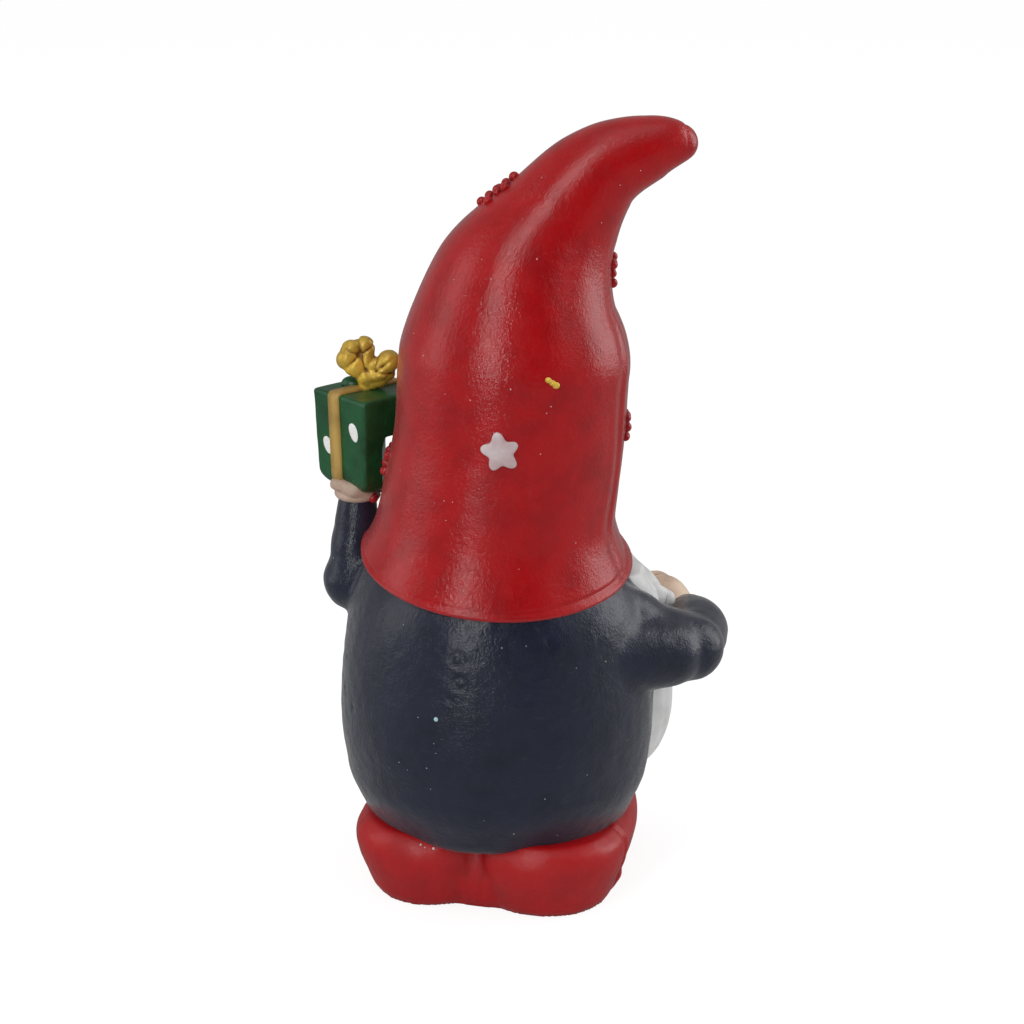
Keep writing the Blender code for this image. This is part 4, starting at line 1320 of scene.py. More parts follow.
@dataclass
class Beard:
    """The broad beard with its locks, and both halves of the moustache."""

    coat: Coat
    face: Face
    thickness: float = 0.0064
    spread: float = radians(72.0)
    top_lift: float = 0.0050
    length: float = 0.0350
    locks: int = 7
    lock_relief: float = 0.0012
    edge_tuck: float = 0.0008
    tuft: float = 0.0016
    sunk: float = 0.0025
    foot_start: float = 0.72
    foot_thinning: float = 0.64
    root_end: float = 0.30
    root_thinning: float = 0.50
    columns: int = 260
    rows: int = 110
    moustache_radius: float = 0.0040
    moustache_level: float = 0.0029
    moustache_droop: float = 0.0033
    moustache_proud: float = 0.0040
    moustache_spread: float = radians(57.0)
    moustache_reach: float = 0.0234
    moustache_way: tuple = ((0.35, 0.0, 1.0), (0.70, 0.9, 0.85), (1.0, 0.85, 0.5))
    moustache_sizes: tuple = (0.60, 1.00, 0.72, 0.60, 0.36)
    moustache_sides: int = 96
    moustache_steps: int = 34
    strand_height: float = 0.20 * MM
    hair_height: float = 0.15 * MM

    def groove(self, angle: Array, share: Array | float) -> Array:
        """Depth of the grooves between the locks."""
        return (0.5 + 0.5 * np.cos(angle / self.spread * pi * self.locks + 2.4 * share)) ** 2

    def strands(self, angle: Array, share: Array) -> Array:
        """Fine carved hair lines that follow the locks.

        Args:
            angle: Angle of each point from the beard's middle.
            share: Share of each point's way down the beard.

        Returns:
            How far each point stands out.
        """
        across = angle / self.spread * 20.0 + 1.1 * share
        place = np.stack((across, share * 2.2, np.zeros_like(angle)), axis=1)
        wander = value_noise(place, 1.6, 91)
        lines = np.sin(angle / self.spread * pi * self.locks * 5.0 + 8.0 * share + 2.4 * wander)
        return self.strand_height * lines * (0.55 + 0.45 * value_noise(place, 0.7, 92))

    def apron(self) -> Shell:
        """The beard's surface and its back, sunk in the coat.

        Returns:
            The closed beard.
        """
        across = np.linspace(-1.0, 1.0, self.columns + 1)
        share = np.linspace(0.0, 1.0, self.rows + 1)
        grid_across, grid_share = np.meshgrid(across, share)
        turn, down = grid_across.ravel() * self.spread, grid_share.ravel()
        wide = np.abs(grid_across.ravel())
        past_start = np.maximum(down - self.foot_start, 0.0) / (1.0 - self.foot_start)
        foot = 1.0 - self.foot_thinning * past_start**2
        root = 1.0 - self.root_thinning * np.maximum(1.0 - down / self.root_end, 0.0) ** 2
        proud = (self.thickness - self.lock_relief * self.groove(turn, down)) * (1.0 - wide**8) * foot * root
        droop = self.length * (1.0 - 0.16 * wide**4) - self.tuft * self.groove(turn, 1.0)
        height = self.coat.chest_height + self.top_lift - droop * down
        hem = np.clip((1.0 - down) / 0.08, 0.0, 1.0) * np.clip(down / 0.05, 0.0, 1.0)
        carved = self.strands(turn, down) * np.clip((1.0 - wide) / 0.08, 0.0, 1.0) * hem
        reach = self.coat.radius(height) + proud - self.edge_tuck * wide**8 + carved
        shape = self.coat.depth_share
        front = np.stack((-reach * np.sin(turn), -reach * shape * np.cos(turn), height), axis=1)
        inner = self.coat.radius(height) - self.sunk
        turn_in = turn * 0.97
        back = np.stack((-inner * np.sin(turn_in), -inner * shape * np.cos(turn_in), height), axis=1)
        return self.closed(front, back)

    def closed(self, front: Array, back: Array) -> Shell:
        """Join the front and back grids round their edges.

        Args:
            front: Points of the front, row by row.
            back: Points of the back, row by row.

        Returns:
            The closed shell.
        """
        width = self.columns + 1
        faces = []
        lift = len(front)
        for row in range(self.rows):
            for column in range(self.columns):
                a = row * width + column
                faces.append((a, a + width, a + width + 1, a + 1))
                faces.append((lift + a, lift + a + 1, lift + a + width + 1, lift + a + width))
        for row in range(self.rows):
            for a, flip in ((row * width, False), (row * width + self.columns, True)):
                face = (a, lift + a, lift + a + width, a + width)
                faces.append(tuple(reversed(face)) if flip else face)
        for column in range(self.columns):
            for a, flip in ((column, True), (self.rows * width + column, False)):
                face = (a, lift + a, lift + a + 1, a + 1)
                faces.append(tuple(reversed(face)) if flip else face)
        return outward(Shell(np.concatenate((front, back)), faces))

    def moustache(self, mirror: float) -> Shell:
        """One half of the moustache with its hair lines.

        Args:
            mirror: 1 for the right half and -1 for the left one.

        Returns:
            The closed half.
        """
        level = self.coat.chest_height + self.moustache_level
        points = [self.face.nose_centre() + np.array((-mirror * 0.3, 0.1, -1.0)) * self.face.nose_radius]
        for turn, droop, proud in self.moustache_way:
            height = level - self.moustache_droop * droop
            angle = mirror * self.moustache_spread * turn
            points.append(self.coat.point(angle, height, self.moustache_proud * proud))
        if mirror > 0:
            points.append(np.array((-self.moustache_reach, points[-1][1], level - self.moustache_droop)))
        else:
            low = level - 1.3 * self.moustache_droop
            points.append(self.coat.point(-1.15 * self.moustache_spread, low, 0.2 * self.moustache_proud))
        sizes = [self.moustache_radius * share for share in self.moustache_sizes]
        sides = self.moustache_sides
        shell = limb(points, sizes, flatness=0.8, sides=sides, steps=self.moustache_steps)
        count = (len(shell.points) - 2) // sides
        turn = np.tile(np.linspace(0.0, tau, sides, endpoint=False), count)
        run = np.repeat(np.linspace(0.0, 1.0, count), sides)
        place = np.stack((np.cos(turn) * 2.0, np.sin(turn) * 2.0, run * 6.0), axis=1)
        lines = np.sin(turn * 11.0 + 5.0 * run + 1.8 * value_noise(place, 1.0, 95))
        fade = np.sin(pi * np.clip(run * 1.02, 0.0, 1.0)) ** 0.5
        fade = fade * np.clip((0.85 - run) / 0.3, 0.12, 1.0)
        heights = self.hair_height * lines * fade
        return raised(shell, np.append(heights, (0.0, 0.0)))

    def build(self) -> list[Object]:
        """Make the beard's and the moustache's pieces.

        Returns:
            The three pieces.
        """
        return [
            Casting("beard", WHITE).place([self.apron()]),
            Casting("moustache_right", WHITE).place([self.moustache(1.0)]),
            Casting("moustache_left", WHITE).place([self.moustache(-1.0)]),
        ]


@dataclass
class Hands:
    """The right hand on the moustache and the left palm under the present."""

    coat: Coat
    right_radius: float = 0.0029
    left_radius: float = 0.0035
    left_height: float = 0.0022
    fingers: int = 4
    palm_thickness: float = 1.4 * MM
    palm_edge: tuple = ((-3.1, 1.7, 0.3), (-0.3, 1.6, 3.0), (2.7, 0.2, 1.2))
    palm_edge_sizes: tuple = (1.05 * MM, 1.20 * MM, 0.90 * MM)
    palm_wave: float = 0.18 * MM
    palm_wave_pitch: float = 0.55 * MM
    finger_turns: tuple = (-150.0, -118.0, -86.0, -54.0)

    def palm_centre(self) -> Array:
        """Middle of the left palm."""
        wrist = self.coat.left_arm()[-1]
        return wrist + UP * (0.7 * self.left_height + 0.2 * self.coat.left_wrist_radius)

    def right(self) -> Shell:
        """The right hand with four curled fingers.

        Returns:
            The closed hand.
        """
        cuff = self.coat.right_arm()[-1]
        size = self.right_radius
        wrist = cuff + np.array((0.10, 0.10, 0.0)) * self.coat.cuff_radius
        palm = cuff + np.array((1.15, -0.76, 0.95)) * size
        end = cuff + np.array((2.15, -1.05, 1.15)) * size
        shells = [limb((wrist, palm, end), (0.9 * size, 0.98 * size, 0.72 * size))]
        for i in range(self.fingers):
            drop = 0.62 - 0.42 * i
            start = palm + np.array((0.15, -0.45, drop)) * size
            knuckle = palm + np.array((0.75, -0.78 + 0.05 * i, drop + 0.15)) * size
            tip = palm + np.array((1.38 - 0.10 * i, -0.45, drop + 0.20)) * size
            shells.append(limb((start, knuckle, tip), (0.30 * size, 0.29 * size, 0.25 * size), sides=20))
        return fused("right_hand_form", shells, Fineness.SMALL.value, 5)

    def left(self) -> Shell:
        """The left palm with finger ends round the present's foot.

        Returns:
            The closed palm.
        """
        centre = self.palm_centre()
        size = self.left_radius
        band = []
        for right, up, near in self.palm_edge:
            band.append(centre + LEAN * (right * MM) + UP * (up * MM) + BACK * (near * MM))
        edge = limb(band, self.palm_edge_sizes, sides=36, steps=20)
        along = (edge.points - centre) @ LEAN
        edge.points[:, 2] += self.palm_wave * np.sin(along / self.palm_wave_pitch)
        shells = [edge, ellipsoid(centre + UP * (0.15 * MM), (size, size, self.palm_thickness))]
        sizes = (0.26 * size, 0.27 * size, 0.22 * size)
        for turn in np.radians(self.finger_turns):
            way = np.array((cos(turn), sin(turn), 0.0))
            root = centre + way * (0.55 * size)
            tip = centre + way * (0.98 * size) + UP * (0.32 * self.left_height)
            shells.append(limb((root, 0.5 * (root + tip), tip), sizes, sides=20))
        return fused("left_hand_form", shells, Fineness.SMALL.value, 4)

    def build(self) -> list[Object]:
        """Make both hands' pieces.

        Returns:
            The right hand and the left palm.
        """
        made = []
        # The left palm takes the skin paint darkened as painted shade.
        for name, shell, seed, finish in (
            ("right_hand", self.right(), 101, SKIN), ("left_hand", self.left(), 103, SHADED_PALM_SKIN),
        ):
            uneven = raised(shell, hand_made(shell.points, seed, 0.07 * MM))
            made.append(Casting(name, finish).place([uneven]))
        return made


@dataclass
class Present:
    """The green present with its ribbon, dots and bow."""

    hands: Hands
    top_width: float = 0.0123
    bottom_width: float = 0.0111
    to_hat: float = 0.0005
    height: float = 0.0153
    turn: float = radians(-33.0)
    edge: float = 0.0005
    foot_round: float = 0.0028
    ribbon_width: float = 0.0022
    ribbon_shift: float = 0.0008
    ribbon_thickness: float = 0.0004
    set_in: float = 0.0009
    set_forward: float = 0.0021
    sink: float = 0.0008
    hole_width: float = 0.0042
    hole_drop: float = 0.0062
    foot_rows: int = 12
    side_rows: int = 20
    corner_points: int = 8
    folds: tuple = (
        ((-0.8, 2.0, 0.0), (-0.7, 6.3, -0.4), (1.2, 1.75, 1.75)),
        ((-1.2, 3.6, 0.0), (-2.6, 5.7, -0.2), (1.5, 1.75, 1.75)),
        ((-1.4, 3.4, 0.2), (-3.3, 4.6, 0.3), (1.4, 1.65, 1.60)),
        ((-1.0, 2.8, 0.3), (-2.3, 3.5, 0.5), (1.2, 1.45, 1.45)),
        ((-0.5, 0.4, 0.3), (-1.0, 3.0, 0.3), (1.0, 1.1, 1.3)),
        ((0.2, 2.4, 0.3), (3.0, 4.4, 0.8), (1.3, 1.75, 1.75)),
        ((0.4, 2.0, 0.3), (1.9, 3.2, 1.0), (1.2, 1.6, 1.6)),
        ((0.4, 2.6, -0.6), (3.2, 4.2, -0.9), (1.2, 1.6, 1.5)),
    )
    knot: tuple = ((-0.3, 2.0, 1.7), (0.5, 1.2, 1.3), (1.5, 1.7, 1.5), (2.6, 2.6, 1.5))
    loop_hollows: tuple = (
        ((-1.1, 5.6), (30.0, 104.0, 165.0, 222.0, 286.0), 3.2),
        ((0.7, 3.0), (34.0, 352.0, 75.0), 3.4),
    )
    fold_depth: float = 0.34 * MM
    hollow_depth: float = 0.55 * MM
    lump_place: tuple = (-2.6, 0.3, -1.6)
    lump_size: tuple = (1.7 * MM, 1.4 * MM, 1.1 * MM)
    across: Array = field(init=False)
    depth: Array = field(init=False)
    base: Array = field(init=False)

    def __post_init__(self) -> None:
        """Work out the present's own axes and foot."""
        self.across = np.array((cos(self.turn), sin(self.turn), 0.0))
        self.depth = np.array((-sin(self.turn), cos(self.turn), 0.0))
        shift = np.array((-self.set_in, -self.set_forward, self.sink))
        self.base = self.hands.palm_centre() + shift + LEAN * self.to_hat

    def at(self, x: float, y: float, z: float) -> Array:
        """A point in the present's own axes."""
        return self.base + self.across * x + self.depth * y + UP * z

    def half_width(self, height: float) -> float:
        """Half width of the block at a height above its foot."""
        grown = (self.top_width - self.bottom_width) * height / self.height
        return 0.5 * (self.bottom_width + grown)

    def levels(self) -> list[tuple[float, float]]:
        """Levels of the block's rounded foot, its sides and its lid's edge.

        Returns:
            The height and the inset of each ring.
        """
        turn = np.linspace(0.0, 0.5 * pi, self.foot_rows)
        foot = [(self.foot_round * (1.0 - cos(a)), self.foot_round * (1.0 - sin(a))) for a in turn]
        level = np.linspace(self.foot_round, self.height - self.edge, self.side_rows)
        sides = [(z, 0.0) for z in level[1:]]
        lid = [
            (self.height - self.edge * (1.0 - sin(a)), self.edge * (1.0 - cos(a))) for a in turn[1:]
        ]
        return foot + sides + lid

    def ring(self, height: float, half: float, corner: float) -> Array:
        """Points of a square with rounded corners.

        Args:
            height: Height above the present's foot.
            half: Half width of the square.
            corner: Radius of its corners.

        Returns:
            The ring's points in order.
        """
        points = []
        for quarter, (x, y) in enumerate(((1, 1), (-1, 1), (-1, -1), (1, -1))):
            for angle in np.linspace(0.0, 0.5 * pi, self.corner_points) + 0.5 * pi * quarter:
                across = x * (half - corner) + corner * cos(angle)
                deep = y * (half - corner) + corner * sin(angle)
                points.append(self.at(across, deep, height))
        return np.array(points)

    def block(self) -> Shell:
        """The tapered box, with a rounded foot and the slot beside the hat.

        Returns:
            The closed box.
        """
        rings = []
        for height, inset in self.levels():
            half = self.half_width(height) - inset
            rings.append(self.ring(height, half, self.edge + 0.5 * inset))
        item = bpy.data.objects.new("box_form", new_mesh("box_form", [loft(rings)]))
        bpy.context.scene.collection.objects.link(item)
        cutter = bpy.data.objects.new("slot_form", new_mesh("slot_form", [self.slot()]))
        bpy.context.scene.collection.objects.link(cutter)
        cut = item.modifiers.new("Slot", "BOOLEAN")
        cut.operation = "DIFFERENCE"
        cut.solver = "EXACT"
        cut.object = cutter
        remesh = item.modifiers.new("Melt", "REMESH")
        remesh.mode = "VOXEL"
        remesh.voxel_size = Fineness.SMALL.value
        soften = item.modifiers.new("Soften", "SMOOTH")
        soften.factor = 0.5
        soften.iterations = 2
        made = evaluated_copy(item, "box_form")
        bpy.data.objects.remove(cutter, do_unlink=True)
        points = np.empty(len(made.vertices) * 3)
        made.vertices.foreach_get("co", points)
        return outward(Shell(points.reshape(-1, 3), [tuple(face.vertices) for face in made.polygons]))

    def slot(self) -> Shell:
        """The space that leaves the present's lower half clear of the hat.

        Returns:
            The closed space.
        """
        top = self.height - self.hole_drop
        middle = self.base - self.across * (0.5 * self.bottom_width + 0.2 * self.hole_width)
        rings = []
        for way in (1.0, -1.0):
            ring = []
            for across, share in ((-1.0, -0.6), (-1.0, 0.8), (-0.8, 1.0), (1.0, 1.0), (1.0, -0.6)):
                spot = middle + BACK * (way * self.top_width)
                ring.append(spot + LEAN * (0.5 * self.hole_width * across) + UP * (top * share))
            rings.append(np.array(ring))
        return loft(rings)

    def ribbon_path(self) -> list[Array]:
        """The ribbon's way round the box, down to the slot on its far side.

        Returns:
            The way's points in order.
        """
        points = []
        for height, inset in self.levels():
            points.append(self.at(self.ribbon_shift, self.half_width(height) - inset, height))
        for share in (0.5, 0.0, -0.5):
            points.append(self.at(self.ribbon_shift, share * self.half_width(self.height), self.height))
        for height, inset in reversed(self.levels()):
            if height > self.height - self.hole_drop + 0.3 * MM:
                points.append(self.at(self.ribbon_shift, inset - self.half_width(height), height))
        return points

    def in_picture(self, right: float, up: float, near: float = 0.0) -> Array:
        """A point beside the lid's middle."""
        lid = self.at(0.0, 0.0, self.height)
        return lid + LEAN * (right * MM) + UP * (up * MM) + BACK * (near * MM)

    def lobes(self) -> list[Shell]:
        """Puffed folds of the bow's two loops, about its knot.

        Returns:
            Closed lumps that overlap.
        """
        shells = []
        for start, end, sizes in self.folds:
            first, last = self.in_picture(*start), self.in_picture(*end)
            middle = 0.5 * (first + last)
            shells.append(limb((first, middle, last), [size * MM for size in sizes], hint=BACK))
        for right, up, size in self.knot:
            shells.append(ellipsoid(self.in_picture(right, up, 0.2), np.full(3, size * MM)))
        return shells

    def creases(self, points: Array) -> Array:
        """Pinched folds that run from each loop's hollow, and the hollows themselves.

        Args:
            points: The bow's surface points.

        Returns:
            Heights along the normals.
        """
        local = points - self.at(0.0, 0.0, self.height)
        right, up = local @ LEAN / MM, points[:, 2] / MM - (self.base[2] + self.height) / MM
        heights = hand_made(points, 115, 0.10 * MM, 0.06 * MM)
        for centre, turns, reach in self.loop_hollows:
            x, y = right - centre[0], up - centre[1]
            distance = np.hypot(x, y)
            angle = np.degrees(np.arctan2(y, x))
            for turn in turns:
                off = (angle - turn + 180.0) % 360.0 - 180.0
                width = 0.30 / np.maximum(distance, 0.5)
                heights -= self.fold_depth * bell(np.radians(off), width) * bell(distance - 1.3, reach * 0.5)
            heights -= self.hollow_depth * bell(distance, 0.7)
        return heights

    def build(self) -> list[Object]:
        """Make the box, the lump behind its ribbon, the ribbon and the bow.

        Returns:
            The four pieces.
        """
        block = self.block()
        block = raised(block, hand_made(block.points, 111, 0.12 * MM, 0.03 * MM))
        made = [Casting("present_box", GREEN).place([block])]
        lump = ellipsoid(self.in_picture(*self.lump_place), self.lump_size, 32)
        lump = raised(lump, hand_made(lump.points, 113, 0.1 * MM))
        made.append(Casting("present_lump", GREEN).place([lump]))
        ribbon = RibbonTree(width=self.ribbon_width, thickness=2.0 * self.ribbon_thickness)
        band = Casting("present_ribbon", OCHRE)
        made.append(band.dress(ribbon.sweep(self.ribbon_path(), self.across, OCHRE.build())))
        bow = fused("bow_form", self.lobes(), Fineness.SMALL.value * 0.75, 3)
        made.append(Casting("present_bow", GOLD).place([raised(bow, self.creases(bow.points))]))
        return made


class NodeTree:
    """Short ways to build a geometry node tree with named inputs."""

    def __init__(self, name: str, inputs: Sequence[tuple[str, str]]) -> None:
        """Make an empty tree.

        Args:
            name: The tree's name.
            inputs: Name and socket type of each input.
        """
        self.tree = bpy.data.node_groups.new(name, "GeometryNodeTree")
        self.tree.interface.new_socket("Geometry", in_out="INPUT", socket_type="NodeSocketGeometry")
        self.sockets = {
            label: self.tree.interface.new_socket(label, in_out="INPUT", socket_type=kind).identifier
            for label, kind in inputs
        }
        self.tree.interface.new_socket("Geometry", in_out="OUTPUT", socket_type="NodeSocketGeometry")
        self.start = self.tree.nodes.new("NodeGroupInput")
        self.end = self.tree.nodes.new("NodeGroupOutput")

    def add(self, kind: str, **settings: str) -> Node:
        """Add a node.

        Args:
            kind: The node's type.
            settings: Values of its settings.

        Returns:
            The new node.
        """
        node = self.tree.nodes.new(kind)
        for key, value in settings.items():
            setattr(node, key, value)
        return node

    def link(self, output: NodeSocket, target: NodeSocket) -> None:
        """Join two sockets."""
        self.tree.links.new(output, target)

    def close(self, geometry: NodeSocket) -> None:
        """End the tree with Realize Instances and Set Material.

        Args:
            geometry: What is handed out.
        """
        realize = self.add("GeometryNodeRealizeInstances")
        paint = self.add("GeometryNodeSetMaterial")
        self.link(geometry, realize.inputs[0])
        self.link(realize.outputs[0], paint.inputs["Geometry"])
        self.link(self.start.outputs["Paint"], paint.inputs["Material"])
        self.link(paint.outputs[0], self.end.inputs[0])

    def run(self, mesh: Mesh, values: dict[str, object]) -> Mesh:
        """Run the tree on a mesh.

        Args:
            mesh: The tree's input mesh.
            values: A value for each named input.

        Returns:
            A plain mesh.
        """
        item = bpy.data.objects.new("node_work", mesh)
        bpy.context.scene.collection.objects.link(item)
        modifier = item.modifiers.new("Nodes", "NODES")
        modifier.node_group = self.tree
        for label, value in values.items():
            modifier[self.sockets[label]] = value
        item.update_tag()
        made = evaluated_copy(item, "node_made")
        bpy.data.meshes.remove(mesh)
        return made


class RibbonTree:
    """A flat band that follows a path."""

    def __init__(self, width: float, thickness: float, step: float = 0.4 * MM) -> None:
        """Keep the band's section.

        Args:
            width: Width of the band.
            thickness: Thickness, half of it sunk in the box.
            step: Length of the band's facets.
        """
        self.width = width
        self.thickness = thickness
        self.step = step

    def tree(self) -> NodeTree:
        """Build the node tree.

        Returns:
            A tree that sweeps the band.
        """
        inputs = (
            ("Width", "NodeSocketFloat"), ("Thickness", "NodeSocketFloat"), ("Step", "NodeSocketFloat"),
            ("Across", "NodeSocketVector"), ("Paint", "NodeSocketMaterial"),
        )
        made = NodeTree("ribbon_band", inputs)
        curve = made.add("GeometryNodeMeshToCurve")
        resample = made.add("GeometryNodeResampleCurve", mode="LENGTH")
        normal = made.add("GeometryNodeSetCurveNormal", mode="FREE")
        profile = made.add("GeometryNodeCurvePrimitiveQuadrilateral")
        sweep = made.add("GeometryNodeCurveToMesh")
        made.link(made.start.outputs["Geometry"], curve.inputs["Mesh"])
        made.link(curve.outputs[0], resample.inputs["Curve"])
        made.link(made.start.outputs["Step"], resample.inputs["Length"])
        made.link(resample.outputs[0], normal.inputs["Curve"])
        made.link(made.start.outputs["Across"], normal.inputs["Normal"])
        made.link(normal.outputs[0], sweep.inputs["Curve"])
        made.link(made.start.outputs["Width"], profile.inputs["Width"])
        made.link(made.start.outputs["Thickness"], profile.inputs["Height"])
        made.link(profile.outputs[0], sweep.inputs["Profile Curve"])
        sweep.inputs["Fill Caps"].default_value = True
        made.close(sweep.outputs[0])
        return made

    def sweep(self, path: Sequence[Array], across: Array, paint: Material) -> Mesh:
        """Lay the band along a path.

        Args:
            path: Points of the path.
            across: Direction of the band's width.
            paint: The band's material.

        Returns:
            The band's closed mesh.
        """
        mesh = bpy.data.meshes.new("ribbon_path")
        mesh.from_pydata([tuple(point) for point in path], [(i, i + 1) for i in range(len(path) - 1)], [])
        values = {
            "Width": self.width, "Thickness": self.thickness, "Step": self.step,
            "Across": tuple(float(part) for part in across), "Paint": paint,
        }
        return self.tree().run(mesh, values)


class BeadTree:
    """Small uneven beads set on points."""

    def tree(self) -> NodeTree:
        """Build the node tree.

        Returns:
            A tree that sets a bead on each point.
        """
        inputs = (
            ("Bead Radius", "NodeSocketFloat"), ("Smallest Share", "NodeSocketFloat"),
            ("Seed", "NodeSocketInt"), ("Paint", "NodeSocketMaterial"),
        )
        made = NodeTree("bead_scatter", inputs)
        points = made.add("GeometryNodeMeshToPoints")
        bead = made.add("GeometryNodeMeshIcoSphere")
        bead.inputs["Subdivisions"].default_value = 3
        size = made.add("FunctionNodeRandomValue", data_type="FLOAT")
        turn = made.add("FunctionNodeRandomValue", data_type="FLOAT_VECTOR")
        turn.inputs[1].default_value = (tau, tau, tau)
        shade = made.add("GeometryNodeSetShadeSmooth")
        grow = made.add("GeometryNodeInstanceOnPoints")
        made.link(made.start.outputs["Geometry"], points.inputs["Mesh"])
        made.link(points.outputs[0], grow.inputs["Points"])
        made.link(made.start.outputs["Bead Radius"], bead.inputs["Radius"])
        made.link(bead.outputs["Mesh"], shade.inputs[0])
        made.link(shade.outputs[0], grow.inputs["Instance"])
        floats = [socket for socket in size.inputs if socket.type == "VALUE" and socket.enabled]
        made.link(made.start.outputs["Smallest Share"], floats[0])
        floats[1].default_value = 1.0
        made.link(made.start.outputs["Seed"], size.inputs["Seed"])
        made.link(made.start.outputs["Seed"], turn.inputs["Seed"])
        number = next(socket for socket in size.outputs if socket.type == "VALUE" and socket.enabled)
        made.link(number, grow.inputs["Scale"])
        made.link(turn.outputs[0], grow.inputs["Rotation"])
        made.close(grow.outputs[0])
        return made

    def scatter(
        self, spots: Sequence[Array], radius: float, smallest: float, seed: int, paint: Material
    ) -> Mesh:
        """Set a bead on each spot.

        Args:
            spots: Middles of the beads.
            radius: Radius of the largest bead.
            smallest: The smallest bead's share of it.
            seed: Picks sizes and turns.
            paint: The beads' material.

        Returns:
            One plain mesh with every bead.
        """
        mesh = bpy.data.meshes.new("bead_spots")
        mesh.from_pydata([tuple(spot) for spot in spots], [], [])
        values = {"Bead Radius": radius, "Smallest Share": smallest, "Seed": seed, "Paint": paint}
        return self.tree().run(mesh, values)


